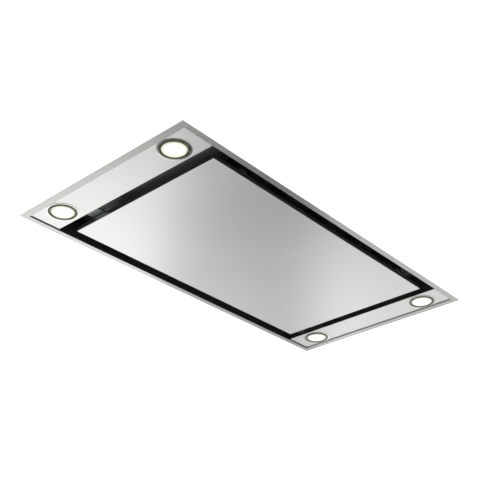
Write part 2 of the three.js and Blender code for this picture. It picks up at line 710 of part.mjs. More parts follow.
// A Z-shaped bracket: foot on the top plate, upright web, slotted tab for a hanging rod.
function suspensionBracket(sideX, sideY, name) {
  const wide = mirrored(sideX, about(boxOuterX - BRACKET_INSET - BRACKET_WIDTH / 2, BRACKET_WIDTH));
  const outer = boxOuterY - BRACKET_INSET;
  const reach = mirrored(sideY, [outer - BRACKET_REACH, outer]);
  const upright = mirrored(sideY, [outer - BRACKET_REACH, outer - BRACKET_REACH + BRACKET_SHEET]);
  const low = BOX_HEIGHT + SEAT;
  const high = low + BRACKET_HEIGHT;
  const slotX = sideX * (boxOuterX - BRACKET_INSET - BRACKET_WIDTH / 2);
  const slotY = sideY * (outer - BRACKET_REACH / 2 + BRACKET_SHEET / 2);
  const tabCut = [high - BRACKET_SHEET - BEYOND, high + BEYOND];
  const straight = BRACKET_SLOT_LENGTH - BRACKET_SLOT_WIDTH;
  const end = disc(BRACKET_SLOT_WIDTH / 2, tabCut, SMALL_SIDES);
  const slot = joined([
    block(about(slotX, BRACKET_SLOT_WIDTH), about(slotY, straight), tabCut),
    end.translate([slotX, slotY - straight / 2, 0]),
    end.translate([slotX, slotY + straight / 2, 0]),
  ]);
  const bracket = joined([
    block(wide, reach, [low, low + BRACKET_SHEET]),
    block(wide, upright, [low, high]),
    block(wide, reach, [high - BRACKET_SHEET, high]),
  ]);
  piece("suspension_bracket_" + name, bracket.subtract(slot), ZINC_STEEL);
}

// ---- Assembly ----------------------------------------------------------------------------------

trimFrame();
suctionBox();
lampBay(-1, "left");
lampBay(1, "right");
lamps();
filterCarrier();
fanCasing();
fanMotor();
motorHousing();
ductCollar();
controlBox();
lampDriver();
[[-1, -1], [1, -1], [-1, 1], [1, 1]].forEach(([x, y], i) => suspensionBracket(x, y, i + 1));

panel();
hinge(-1, "left");
hinge(1, "right");
magneticCatch(-1, "left");
magneticCatch(1, "right");

fanWheel();
damperFlap(1, "back");
damperFlap(-1, "front");
for (let i = 0; i < FILTER_COUNT; i++) greaseFilter(i);

export default hood;
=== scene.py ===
# %% [markdown]
# # Ceiling range hood
# The hood lies flush with a ceiling. From below only a brushed steel rim, two end plates
# with four lamps and a drop-down panel show, and air goes up through the dark slot
# round the panel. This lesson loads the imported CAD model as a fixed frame, then builds
# each visible piece over its CAD node with Blender's own modelling operators. Every
# place is read from the frame, so a piece always sits on what carries it.

# %% Load the frame and keep its box
import math

import bpy
from mathutils import Matrix, Vector

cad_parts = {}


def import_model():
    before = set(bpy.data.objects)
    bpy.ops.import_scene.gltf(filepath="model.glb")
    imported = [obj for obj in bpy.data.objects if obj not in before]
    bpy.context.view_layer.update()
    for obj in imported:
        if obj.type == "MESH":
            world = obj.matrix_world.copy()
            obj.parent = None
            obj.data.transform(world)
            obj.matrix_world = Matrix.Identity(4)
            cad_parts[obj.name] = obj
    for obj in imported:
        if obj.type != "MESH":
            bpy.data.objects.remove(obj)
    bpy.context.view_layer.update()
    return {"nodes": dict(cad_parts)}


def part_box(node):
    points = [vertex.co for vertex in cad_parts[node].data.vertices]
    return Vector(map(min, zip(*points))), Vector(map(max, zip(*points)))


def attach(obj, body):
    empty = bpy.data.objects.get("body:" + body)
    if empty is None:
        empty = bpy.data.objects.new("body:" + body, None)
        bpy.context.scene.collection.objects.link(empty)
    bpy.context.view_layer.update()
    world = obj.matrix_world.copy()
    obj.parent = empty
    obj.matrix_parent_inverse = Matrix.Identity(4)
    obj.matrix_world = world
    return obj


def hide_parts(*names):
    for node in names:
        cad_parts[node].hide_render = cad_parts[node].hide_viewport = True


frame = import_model()
MM = 0.001

# %% [markdown]
# ## Camera
# The picture was taken from low down and to the left, looking up at the hood along its
# long side. The place and the lens were worked out from the four corners of the rim and
# of the panel, whose real sizes are known, so the verticals and the vanishing points
# agree with the picture. The lens is a short telephoto, with no shift.

# %% Camera
CAMERA_PLACE = Vector((-1.4565, -1.2337, -1.0435))
CAMERA_HEADING = 48.35  # degrees from +Y towards +X
CAMERA_RISE = 30.09  # degrees above the horizon
CAMERA_ROLL = -0.18
LENS_MM = 66.0


def place_camera():
    heading = math.radians(CAMERA_HEADING)
    rise = math.radians(CAMERA_RISE)
    flat = math.cos(rise)
    ahead = Vector((math.sin(heading) * flat, math.cos(heading) * flat, math.sin(rise)))
    data = bpy.data.cameras.new("camera")
    data.lens = LENS_MM
    data.sensor_width = 36
    data.clip_start = 0.05
    camera = bpy.data.objects.new("camera", data)
    bpy.context.collection.objects.link(camera)
    turn = ahead.to_track_quat("-Z", "Y").to_matrix().to_4x4()
    roll = Matrix.Rotation(math.radians(CAMERA_ROLL), 4, "Z")
    camera.matrix_world = Matrix.Translation(CAMERA_PLACE) @ turn @ roll
    bpy.context.scene.camera = camera


place_camera()
print("camera", tuple(CAMERA_PLACE), "lens", LENS_MM)

# %% [markdown]
# ## Colours and nodes
# Colours are written as sRGB hex, as a colour picker shows them, and one helper turns
# them to linear light. A procedural finish is a chain of small nodes, so another helper
# adds a node together with its settings and its links. A finish is then a recipe: it
# adds its patterns to a tree and hands back what the surface shader gets.

# %% Colours


def linear(colour):
    """An sRGB hex colour as linear red, green, blue and alpha."""
    parts = [int(colour[i:i + 2], 16) / 255 for i in (1, 3, 5)]
    light = [c / 12.92 if c <= 0.04045 else ((c + 0.055) / 1.055) ** 2.4 for c in parts]
    return (*light, 1)


print("a mid grey in linear light:", [round(v, 3) for v in linear("#808080")])

# %% Nodes


def add(tree, kind, inputs=None, stops=(), **settings):
    """Adds a node. Each input gets a link or a value, and a colour ramp its stops."""
    made = tree.nodes.new(kind)
    for name, value in settings.items():
        setattr(made, name, value)
    for name, value in (inputs or {}).items():
        if isinstance(value, bpy.types.NodeSocket):
            tree.links.new(value, made.inputs[name])
        else:
            made.inputs[name].default_value = value
    if stops:
        points = made.color_ramp.elements
        points[0].position, points[0].color = stops[0][0], linear(stops[0][1])
        points[1].position, points[1].color = stops[-1][0], linear(stops[-1][1])
        for place, colour in stops[1:-1]:
            points.new(place).color = linear(colour)
    return made


def material(name, recipe, **values):
    """A material. The recipe adds its patterns and returns the shader's sockets."""
    made = bpy.data.materials.new(name)
    made.use_nodes = True
    tree = made.node_tree
    tree.nodes.clear()
    place = add(tree, "ShaderNodeTexCoord").outputs["Object"]
    shader = add(tree, "ShaderNodeBsdfPrincipled", recipe(tree, place, **values))
    add(tree, "ShaderNodeOutputMaterial", {"Surface": shader.outputs[0]})
    return made


# %% [markdown]
# ## Brushed stainless steel
# Sheet of stainless steel, belt-ground with about 240 grit, so its scratches run one
# way. The scratches blur a reflection across their own direction, which is why the sheet
# shows soft broad gradients rather than a mirror image. Real scratches are under 0.1 mm
# wide. They are drawn 0.7 mm wide and 90 mm long here, the finest that still shows.
# The rim is a separate pressing with a finer grind, which shows more contrast. Its
# steel is also a darker copy: painted shade for the darker reflection its flange shows.

# %% Brushed stainless steel
SCRATCH_WIDTH = 0.7 * MM
SCRATCH_LENGTH = 90 * MM
CLOUD_SIZE = 160 * MM


def brushed(tree, place, light, dark, smooth, rough):
    scale = (1 / SCRATCH_LENGTH, 1 / SCRATCH_WIDTH, 1 / SCRATCH_WIDTH)
    lines = add(tree, "ShaderNodeMapping", {"Vector": place, "Scale": scale}).outputs[0]
    scratches = add(
        tree, "ShaderNodeTexNoise", {"Vector": lines, "Scale": 1.0, "Detail": 3.0, "Roughness": 0.6}
    ).outputs[0]
    clouds = add(
        tree, "ShaderNodeTexNoise", {"Vector": place, "Scale": 1 / CLOUD_SIZE, "Detail": 2.0}
    ).outputs[0]
    mixed = add(tree, "ShaderNodeMix", {0: 0.3, 2: scratches, 3: clouds}).outputs[0]
    tone = add(tree, "ShaderNodeValToRGB", {0: mixed}, [(0.3, dark), (0.7, light)])
    gloss = add(tree, "ShaderNodeMapRange", {0: mixed, 1: 0.25, 2: 0.75, 3: smooth, 4: rough})
    relief = add(
        tree, "ShaderNodeBump", {"Height": scratches, "Distance": 0.01 * MM, "Strength": 0.35}
    )
    grind = add(tree, "ShaderNodeTangent", direction_type="UV_MAP")
    return {
        "Metallic": 1.0, "Base Color": tone.outputs[0], "Roughness": gloss.outputs[0],
        "Anisotropic": 0.45, "Anisotropic Rotation": 0.25, "Tangent": grind.outputs[0],
        "Normal": relief.outputs[0],
    }


PANEL_STEEL = material(
    "stainless steel, belt brushed", brushed, light="#dddcda", dark="#d3d2d0", smooth=0.28, rough=0.34
)
# Painted shade: a darker copy of the steel stands for the rim's darker reflection.
SHADED_RIM_STEEL = material(
    "stainless steel, fine ground, darkened as painted shade", brushed, light="#b8b7b5", dark="#adacaa", smooth=0.22, rough=0.28
)
print("steels:", PANEL_STEEL.name, "and", SHADED_RIM_STEEL.name)

# %% [markdown]
# ## Paint, plating and cast metal
# Inside, the box is powder coated black, which leaves a fine orange peel. Screws,
# hinges and brackets are zinc plated steel, a little cloudy. The lamp rings are
# bright chrome. Their collars are chrome darkened to an olive grey, a painted
# reflection of the dark room. The lamp bodies are die cast, with a grainy skin. The
# case on top is galvanised sheet, whose zinc froze in flat crystals about 10 mm across.

# %% Coated and moulded skins


def coated(tree, place, light, dark, roughness, cloud, grain, relief):
    """Paint or plastic: a tone that wanders a little over a fine bumpy skin."""
    clouds = add(tree, "ShaderNodeTexNoise", {"Vector": place, "Scale": 1 / cloud, "Detail": 3.0})
    tone = add(tree, "ShaderNodeValToRGB", {0: clouds.outputs[0]}, [(0.35, dark), (0.65, light)])
    skin = add(tree, "ShaderNodeTexNoise", {"Vector": place, "Scale": 1 / grain, "Detail": 2.0})
    raised = add(
        tree, "ShaderNodeBump", {"Height": skin.outputs[0], "Distance": relief, "Strength": 0.5}
    )
    gloss = add(
        tree, "ShaderNodeMapRange",
        {0: clouds.outputs[0], 1: 0.3, 2: 0.7, 3: roughness - 0.04, 4: roughness + 0.04},
    )
    return {
        "Base Color": tone.outputs[0], "Roughness": gloss.outputs[0], "IOR": 1.5,
        "Normal": raised.outputs[0],
    }


# Powder coat melts to a satin film with an orange peel about 2 mm across.
BLACK_PAINT = material(
    "mild steel, black powder coat", coated, light="#2e2f2d", dark="#252624", roughness=0.5,
    cloud=60 * MM, grain=2.2 * MM, relief=0.05 * MM,
)
# Moulded plastics copy the fine spark-eroded grain of their tool.
BLACK_ABS = material(
    "ABS, moulded black", coated, light="#2a2b2d", dark="#222325", roughness=0.5,
    cloud=30 * MM, grain=0.9 * MM, relief=0.06 * MM,
)
GREY_PP = material(
    "polypropylene, moulded grey", coated, light="#777c7f", dark="#696e71", roughness=0.5,
    cloud=30 * MM, grain=1.1 * MM, relief=0.06 * MM,
)
print("skins:", [m.name for m in (BLACK_PAINT, BLACK_ABS, GREY_PP)])

# %% Plated, cast and rolled metal


def bare(tree, place, light, dark, patch, smooth, rough, relief=0.0):
    """A metal whose tone and gloss wander over patches of a size in metres."""
    clouds = add(
        tree, "ShaderNodeTexNoise",
        {"Vector": place, "Scale": 1 / patch, "Detail": 4.0, "Roughness": 0.6},
    ).outputs[0]
    tone = add(tree, "ShaderNodeValToRGB", {0: clouds}, [(0.3, dark), (0.7, light)])
    gloss = add(tree, "ShaderNodeMapRange", {0: clouds, 1: 0.3, 2: 0.7, 3: smooth, 4: rough})
    raised = add(tree, "ShaderNodeBump", {"Height": clouds, "Distance": relief, "Strength": 0.6})
    return {
        "Metallic": 1.0, "Base Color": tone.outputs[0], "Roughness": gloss.outputs[0],
        "Normal": raised.outputs[0],
    }


CHROME = material(
    "zinc casting, bright chrome plated", bare, light="#d2d4d5", dark="#c6c8ca",
    patch=20 * MM, smooth=0.07, rough=0.12,
)
# Painted reflection: the collars' chrome is darkened to a smoked olive grey, which
# stands for the dark room it mirrors, so only what is bright shows in it.
DARKENED_CHROME = material(
    "zinc casting, chrome darkened as painted reflection", bare, light="#63654f", dark="#575945",
    patch=20 * MM, smooth=0.08, rough=0.13,
)
ZINC = material(
    "mild steel, bright zinc plated", bare, light="#c3c7ca", dark="#9fa4a9",
    patch=14 * MM, smooth=0.28, rough=0.42,
)
# Painted shade: the arms get a darker, rougher copy of the zinc, which dims the light
# patch they show deep in the slot.
SHADED_ZINC = material(
    "mild steel, zinc plated, darkened as painted shade", bare, light="#8b8f92", dark="#6d7175",
    patch=14 * MM, smooth=0.36, rough=0.48,
)
CAST = material(
    "aluminium, die cast", bare, light="#a9abad", dark="#8c8f92",
    patch=1.5 * MM, smooth=0.45, rough=0.6, relief=0.08 * MM,
)
# Greasy air and washing leave a dull grey film on bare aluminium, so the filters
# and the flaps look darker than new sheet.
ROLLED = material(
    "aluminium, rolled and dulled", bare, light="#bcbdbe", dark="#a3a4a5",
    patch=8 * MM, smooth=0.34, rough=0.46,
)
BARE_METALS = (CHROME, DARKENED_CHROME, ZINC, SHADED_ZINC, CAST, ROLLED)
print("bare metals:", [m.name for m in BARE_METALS])

# %% Galvanised sheet
SPANGLE = 10 * MM


def spangled(tree, place):
    """Zinc crystals: each cell has its own grey, crossed by fine streaks."""
    cells = add(tree, "ShaderNodeTexVoronoi", {"Vector": place, "Scale": 1 / SPANGLE})
    grey = add(tree, "ShaderNodeRGBToBW", {0: cells.outputs["Color"]}).outputs[0]
    streaks = add(tree, "ShaderNodeTexNoise", {"Vector": place, "Scale": 1 / (2 * MM), "Detail": 4.0})
    mixed = add(tree, "ShaderNodeMix", {0: 0.3, 2: grey, 3: streaks.outputs[0]}).outputs[0]
    tone = add(
        tree, "ShaderNodeValToRGB", {0: mixed}, [(0.15, "#8f9699"), (0.5, "#a9afb2"), (0.85, "#c2c7c9")]
    )
    gloss = add(tree, "ShaderNodeMapRange", {0: mixed, 1: 0.2, 2: 0.8, 3: 0.36, 4: 0.55})
    return {"Metallic": 1.0, "Base Color": tone.outputs[0], "Roughness": gloss.outputs[0]}


GALVANISED = material("steel sheet, hot dip galvanised", spangled)
print("spangle size in mm:", SPANGLE / MM)

# %% [markdown]
# ## Lit lens
# The lens is a frosted disc lit from behind: its middle is brightest, and the light
# falls off towards the edge, so the glow reads an attribute that holds how far each
# point is from the lamp's axis. It is 0 on the axis and 1 at the lens's edge.

# %% Lit lens


def frosted_and_lit(tree, place):
    away = add(tree, "ShaderNodeAttribute", attribute_name="from_axis").outputs["Fac"]
    glow = add(
        tree, "ShaderNodeValToRGB", {0: away},
        [(0.0, "#fdfef4"), (0.7, "#fafbee"), (0.86, "#dde0d3"), (1.0, "#c6c9bc")],
    )
    frost = add(tree, "ShaderNodeTexNoise", {"Vector": place, "Scale": 1 / (1.2 * MM)}).outputs[0]
    raised = add(tree, "ShaderNodeBump", {"Height": frost, "Distance": 0.04 * MM, "Strength": 0.5})
    return {
        "Base Color": linear("#8f908a"), "Roughness": 0.4, "IOR": 1.49,
        "Emission Color": glow.outputs[0], "Emission Strength": 0.93, "Normal": raised.outputs[0],
    }


LIT_LENS = material("acrylic, frosted and lit", frosted_and_lit)
print("finishes:", len(bpy.data.materials))

# %% [markdown]
# ## Starting and picking
# Each helper does what a hand would do: add a primitive at its size and place, then pick
# faces or edges by where they are. An operator acts on all that is selected, so
# everything is deselected first. A piece keeps its place in its mesh, and its object
# stays at the origin.

# %% Start a piece


def take(obj):
    """Makes obj the one selected and active object."""
    bpy.ops.object.select_all(action="DESELECT")
    obj.select_set(True)
    bpy.context.view_layer.objects.active = obj


def started(name):
    """Names the primitive just added and moves its place into its mesh."""
    obj = bpy.context.object
    obj.name = name
    obj.data.name = name
    bpy.ops.object.transform_apply(location=True, rotation=True, scale=True)
    return obj


def block(name, low, high):
    """A box between two corners."""
    low, high = Vector(low), Vector(high)
    bpy.ops.object.select_all(action="DESELECT")
    bpy.ops.mesh.primitive_cube_add(size=1, location=(low + high) / 2)
    bpy.context.object.scale = high - low
    return started(name)


# %% Pick faces and edges


def pick(obj, test, kind="FACE"):
    """Enters edit mode with only the faces (middle, normal) or edges (end, end) that pass."""
    take(obj)
    bpy.ops.object.mode_set(mode="EDIT")
    bpy.ops.mesh.select_mode(type=kind)
    bpy.ops.mesh.select_all(action="DESELECT")
    bpy.ops.object.mode_set(mode="OBJECT")
    corners = obj.data.vertices
    if kind == "FACE":
        for face in obj.data.polygons:
            face.select = bool(test(face.center, face.normal))
    else:
        for edge in obj.data.edges:
            edge.select = bool(test(*[corners[i].co for i in edge.vertices]))
    bpy.ops.object.mode_set(mode="EDIT")


def pick_all(obj):
    """Enters edit mode with every corner selected."""
    take(obj)
    bpy.ops.object.mode_set(mode="EDIT")
    bpy.ops.mesh.select_mode(type="VERT")
    bpy.ops.mesh.select_all(action="SELECT")


def leave():
    bpy.ops.object.mode_set(mode="OBJECT")


def remove_faces(obj, test):
    """Takes away the faces whose normal passes, and leaves their edges."""
    pick(obj, lambda c, n: test(n))
    bpy.ops.mesh.delete(type="ONLY_FACE")
    leave()


def slice_at(obj, axis, places):
    """Cuts new edges right round obj, square to an axis, at each place."""
    for place in places:
        pick_all(obj)
        point = [place if a == axis else 0 for a in "XYZ"]
        normal = [1 if a == axis else 0 for a in "XYZ"]
        bpy.ops.mesh.bisect(plane_co=point, plane_no=normal)
        leave()


# %% [markdown]
# ## Shaping and finishing
# Rounded edges, sheet thickness and cuts are modifiers that are applied at once. A
# finished piece gets its material, smooth shading, the body that it moves with and the
# CAD nodes that it stands for.

# %% Shape and finish a piece


def modify(obj, kind, **settings):
    """Adds a modifier and applies it."""
    take(obj)
    modifier = obj.modifiers.new(kind.title(), kind)
    for name, value in settings.items():
        setattr(modifier, name, value)
    bpy.ops.object.modifier_apply(modifier=modifier.name)
    return obj


def soften(obj, width, segments=2, angle=40):
    """Rounds every edge sharper than the angle."""
    limit = math.radians(angle)
    return modify(obj, "BEVEL", width=width, segments=segments, limit_method="ANGLE", angle_limit=limit)


def cleaned(obj, near=0.002 * MM):
    """Merges doubled corners and turns all faces outwards."""
    pick_all(obj)
    bpy.ops.mesh.remove_doubles(threshold=near)
    bpy.ops.mesh.normals_make_consistent(inside=False)
    leave()
    return obj


def dress(obj, body, finish, slot, *nodes, smooth=30):
    """Gives a piece its material and shading, its body and the nodes it stands for."""
    take(obj)
    obj.data.materials.clear()
    obj.data.materials.append(finish)
    bpy.ops.object.shade_smooth_by_angle(angle=math.radians(smooth))
    modify(obj, "WEIGHTED_NORMAL", weight=100, keep_sharp=True)
    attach(obj, body)
    if nodes:
        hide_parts(*nodes)
    return obj


# %% [markdown]
# ## Trim frame
# The rim that covers the edge of the ceiling's cut-out is one flat pressing, wider at
# the two ends than along the sides. A box is sliced where the opening's edges run, the
# middle faces are deleted and the two holes bridged, which gives a clean frame. At each
# end the inner edge is folded up, and a small bevel rounds the pressed edges. A UV map
# laid flat over the sheet tells the steel which way the grind runs.

# %% Trim frame
SEAT = 0.3 * MM  # gap between pieces that touch
SHEET = 1.0 * MM


def lay_grain(obj):
    """Lays a flat UV map whose U runs along X, the way of the grind."""
    pick_all(obj)
    bpy.ops.uv.cube_project(cube_size=1.0)
    leave()
    return obj


def opened(rim, open_x, open_y):
    """Cuts a rectangular opening through a flat plate and closes its edge."""
    pick(rim, lambda c, n: abs(n.z) > 0.5 and abs(c.x) < open_x and abs(c.y) < open_y)
    bpy.ops.mesh.delete(type="FACE")
    leave()
    on_edge = lambda p: max(abs(p.x) - open_x, abs(p.y) - open_y) < 0.01 * MM
    pick(rim, lambda a, b: on_edge(a) and on_edge(b), "EDGE")
    bpy.ops.mesh.bridge_edge_loops()
    leave()


def trim_frame():
    low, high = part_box("trim_frame")
    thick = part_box("suction_box")[0].z - SEAT
    open_x = -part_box("lamp_plate_left")[0].x + SEAT
    open_y = -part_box("suction_box")[0].y - 2 * SHEET - SEAT
    rim = block("rim", low, (high.x, high.y, thick))
    slice_at(rim, "X", [-open_x - SHEET, -open_x, open_x, open_x + SHEET])
    slice_at(rim, "Y", [-open_y, open_y])
    opened(rim, open_x, open_y)
    strip = lambda c: open_x < abs(c.x) < open_x + SHEET and abs(c.y) < open_y
    pick(rim, lambda c, n: strip(c) and n.z > 0.5)
    lift = {"value": (0, 0, high.z - thick)}
    bpy.ops.mesh.extrude_region_move(TRANSFORM_OT_translate=lift)
    leave()
    soften(cleaned(rim), 0.35 * MM, 3)
    # The rim's darker steel is painted shade.
    return dress(lay_grain(rim), "chassis", SHADED_RIM_STEEL, "brushed_steel", "trim_frame")


RIM = trim_frame()
print("rim faces:", len(RIM.data.polygons))

# %% [markdown]
# ## Lamp plates
# Each end has a plate of brushed steel, set a little above the rim, with two holes
# punched for the lamps. The holes are cut with a rod of the ring's neck size, in 96
# sides so that they look round.

# %% Lamp plates
SIDES = {"left": -1, "right": 1}
TURN_TO = {"X": (0, math.pi / 2, 0), "Y": (-math.pi / 2, 0, 0), "Z": (0, 0, 0)}
LAMP_HOLE = 32.8 * MM


def rod(name, middle, radius, length, axis="Z", sides=32):
    """A cylinder along an axis."""
    bpy.ops.object.select_all(action="DESELECT")
    bpy.ops.mesh.primitive_cylinder_add(
        vertices=sides, radius=radius, depth=length, location=middle, rotation=TURN_TO[axis]
    )
    return started(name)


def combine(obj, how, others):
    """Joins ("UNION") or cuts ("DIFFERENCE") obj with the others, which are used up."""
    for other in others:
        modify(obj, "BOOLEAN", object=other, operation=how, solver="EXACT")
        bpy.data.objects.remove(other)
    return obj


def middle_of(node):
    low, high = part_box(node)
    return (low + high) / 2


def axis_of(node):
    """The middle of a node seen from below, at height 0."""
    low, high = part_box(node)
    return Vector(((low.x + high.x) / 2, (low.y + high.y) / 2, 0))


def lamp_plate(side):
    name = f"lamp_plate_{side}"
    plate = block(f"end_plate_{side}", *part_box(name))
    lamps = [middle_of(f"lamp_lens_{i}") for i in range(1, 5)]
    here = [m for m in lamps if m.x * SIDES[side] > 0]
    combine(plate, "DIFFERENCE", [rod("hole", m, LAMP_HOLE, 20 * MM, sides=96) for m in here])
    soften(plate, 0.25 * MM, 2)
    return dress(lay_grain(plate), "chassis", PANEL_STEEL, "brushed_steel", name)


PLATES = [lamp_plate(side) for side in SIDES]
print("end plates:", [p.name for p in PLATES])

# %% [markdown]
# ## Lamp rings and lenses
# A chrome ring with a thin flat lip drops into each hole, and a rounded collar in it
# clamps the lens; the collar's dark olive tone is painted reflection. Each is drawn
# once as a line of points, the outline of its section, and spun round the lamp's
# axis. The lens is a slightly domed disc, spun the same way.

# %% Spin a section


def drawn(name, section):
    """A line of edges through (radius, height) points, drawn from a merged plane."""
    bpy.ops.object.select_all(action="DESELECT")
    start = (section[0][0], 0, section[0][1])
    bpy.ops.mesh.primitive_plane_add(size=MM, location=start)
    obj = started(name)
    pick_all(obj)
    bpy.ops.mesh.merge(type="CENTER")
    for (r0, h0), (r1, h1) in zip(section, section[1:]):
        step = {"value": (r1 - r0, 0, h1 - h0)}
        bpy.ops.mesh.extrude_vertices_move(TRANSFORM_OT_translate=step)
    return obj


def turned(name, section, middle=(0, 0, 0), axis="Z", steps=64):
    """Spins a section of (radius, height) points round an axis through middle."""
    obj = drawn(name, section)
    bpy.ops.mesh.select_all(action="SELECT")
    bpy.ops.mesh.spin(steps=steps, angle=2 * math.pi, center=(0, 0, 0), axis=(0, 0, 1))
    leave()
    turns = {"X": Matrix.Rotation(math.pi / 2, 4, "Y"), "Y": Matrix.Rotation(-math.pi / 2, 4, "X")}
    obj.data.transform(Matrix.Translation(middle) @ turns.get(axis, Matrix.Identity(4)))
    return cleaned(obj)


def arc(middle, radius, first, last, count):
    """Points of a round stretch of a section, from one angle to another in degrees."""
    angles = [math.radians(first + (last - first) * i / count) for i in range(count + 1)]
    return [(middle[0] + radius * math.cos(a), middle[1] + radius * math.sin(a)) for a in angles]


# %% Lamp rings
RING_SPIGOT = 32.5 * MM
RING_NECK = 31 * MM
RING_DEPTH = 2.2 * MM
RING_LIP = 0.6 * MM


def lamp_ring(i):
    """A flat lip on the plate and a neck through it."""
    node = f"lamp_bezel_{i}"
    low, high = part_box(node)
    outer = (high.x - low.x) / 2
    seat = low.z + RING_DEPTH
    edge = arc((outer - RING_LIP / 2, seat - RING_LIP / 2), RING_LIP / 2, 0, -90, 3)
    section = [
        (RING_SPIGOT, high.z), (RING_SPIGOT, seat), (outer, seat), *edge,
        (RING_NECK, seat - RING_LIP), (RING_NECK, high.z), (RING_SPIGOT, high.z),
    ]
    ring = turned(f"lamp_ring_{i}", section, axis_of(node), steps=96)
    return dress(ring, "chassis", CHROME, "chrome", node, smooth=25)


RINGS = [lamp_ring(i) for i in range(1, 5)]
print("ring faces:", len(RINGS[0].data.polygons))

# %% Lens holders
HOLDER_EDGE = 33.4 * MM


def lens_holder(i):
    """A rounded collar inside the ring, which clamps the lens."""
    low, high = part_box(f"lamp_bezel_{i}")
    lens_low, lens_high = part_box(f"lamp_lens_{i}")
    bore = (lens_high.x - lens_low.x) / 2 + SEAT
    lap = low.z + RING_DEPTH - RING_LIP - 0.05 * MM
    half = (HOLDER_EDGE - bore) / 2
    around = arc((0, 0), 1, 0, -180, 16)
    roll = [(bore + half + half * r, lap + (lap - low.z) * h) for r, h in around]
    neck = RING_NECK - 0.05 * MM
    section = [(neck, high.z), (neck, lap), *roll, (bore, high.z), (neck, high.z)]
    holder = turned(f"lens_holder_{i}", section, axis_of(f"lamp_bezel_{i}"), steps=96)
    # The collar's darkened chrome is painted reflection.
    return dress(holder, "chassis", DARKENED_CHROME, "chrome", smooth=25)


HOLDERS = [lens_holder(i) for i in range(1, 5)]
print("holder faces:", len(HOLDERS[0].data.polygons))

# %% Lenses
LENS_DOME = 0.7 * MM


def lens(i):
    node = f"lamp_lens_{i}"
    low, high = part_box(node)
    edge = (high.x - low.x) / 2
    parts = [k / 10 for k in range(10)]
    front = [(edge * t, low.z - LENS_DOME * (1 - t * t)) for t in parts]
    rim = [(edge - 0.4 * MM, low.z), (edge, low.z + 0.4 * MM), (edge, high.z), (0, high.z)]
    middle = axis_of(node)
    disc = turned(f"lens_{i}", [*front, *rim], middle)
    away = disc.data.attributes.new("from_axis", "FLOAT", "POINT")
    for corner, value in zip(disc.data.vertices, away.data):
        value.value = (corner.co - middle).to_2d().length / edge
    return dress(disc, "chassis", LIT_LENS, "lens", node)


LENSES = [lens(i) for i in range(1, 5)]
print("lens faces:", len(LENSES[0].data.polygons))

# %% [markdown]
# ## Lamp bodies
# Behind each lens sits a die cast body that keeps the lamp cool. Its fins run round it
# like the threads of a wide screw, so they too are one section that is spun.

# %% Lamp bodies
LAMP_FINS = 3
FIN_DEPTH = 4 * MM
BODY_FOOT = 6 * MM


def lamp_body(i):
    node = f"lamp_body_{i}"
    low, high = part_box(node)
    radius = (high.x - low.x) / 2
    pitch = (high.z - low.z - BODY_FOOT) / LAMP_FINS
    section = [(0, low.z), (radius, low.z), (radius, low.z + BODY_FOOT)]
    for k in range(LAMP_FINS):
        base = low.z + BODY_FOOT + k * pitch
        section += [(radius - FIN_DEPTH, base + 0.3 * MM), (radius - FIN_DEPTH, base + pitch * 0.5)]
        section += [(radius, base + pitch * 0.55), (radius, base + pitch)]
    section.append((0, high.z))
    body = turned(f"lamp_housing_{i}", section, axis_of(node), steps=48)
    return dress(body, "chassis", CAST, "cast_aluminium", node)


BODIES = [lamp_body(i) for i in range(1, 5)]
print("lamp pieces:", len(RINGS + HOLDERS + LENSES + BODIES))

# %% [markdown]
# ## Drop-down panel
# The panel is one sheet with its four edges folded up and then inwards, which makes it
# stiff. It starts as a box without a lid. The upper edges are extruded and drawn in to
# make the return, the folds are bevelled to the radius a press leaves, and Solidify
# gives the skin its gauge.

# %% Panel skin
FOLD_RADIUS = 1.2 * MM
PANEL_RETURN = 10 * MM


def outward(obj):
    """Turns an open sheet so that the face at its bottom looks down."""
    lowest = min(obj.data.polygons, key=lambda f: f.center.z)
    if lowest.normal.z > 0:
        pick_all(obj)
        bpy.ops.mesh.flip_normals()
        leave()
    return obj


def panel_skin():
    low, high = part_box("panel_skin")
    skin = block("panel_sheet", low, high)
    remove_faces(skin, lambda n: n.z > 0.5)
    top = lambda p: p.z > high.z - 0.01 * MM
    pick(skin, lambda a, b: top(a) and top(b), "EDGE")
    bpy.ops.mesh.extrude_region_move()
    drawn_in = (1 - PANEL_RETURN / high.x, 1 - PANEL_RETURN / high.y, 1)
    bpy.ops.transform.resize(value=drawn_in, center_override=(0, 0, high.z))
    leave()
    soften(skin, FOLD_RADIUS, 4)
    outward(cleaned(skin))
    modify(skin, "SOLIDIFY", thickness=SHEET, offset=-1, use_even_offset=True)
    return dress(lay_grain(skin), "panel", PANEL_STEEL, "brushed_steel", "panel_skin")


PANEL = panel_skin()
print("panel faces:", len(PANEL.data.polygons), [round(v / MM, 2) for v in PANEL.dimensions])

# %% [markdown]
# ## Panel back
# A plain sheet closes the back of the panel. Three long beads pressed up in it keep it
# from drumming in the air stream. The sheet is sliced into strips, and the strips are
# inset and raised in one move.

# %% Panel back
BEAD_WIDTH = 14 * MM
BEAD_HEIGHT = 1.2 * MM
BEAD_SLOPE = 2.5 * MM


def pressed(obj, test, height, slope):
    """Raises the faces that pass, with sloping sides."""
    pick(obj, test)
    bpy.ops.mesh.inset(thickness=slope, depth=height, use_boundary=True)
    leave()


def panel_back():
    low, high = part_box("panel_back")
    back = block("panel_lining", low, high)
    beads = [-120 * MM, 0, 95 * MM]
    reach = 300 * MM
    half = BEAD_WIDTH / 2
    slice_at(back, "X", [-reach, reach])
    slice_at(back, "Y", [y + side * half for y in beads for side in (-1, 1)])
    on_bead = lambda c: abs(c.x) < reach and min(abs(c.y - y) for y in beads) < half
    pressed(back, lambda c, n: n.z > 0.5 and on_bead(c), BEAD_HEIGHT, BEAD_SLOPE)
    soften(back, 0.25 * MM, 1, 20)
    return dress(back, "panel", BLACK_PAINT, "black_paint", "panel_back")


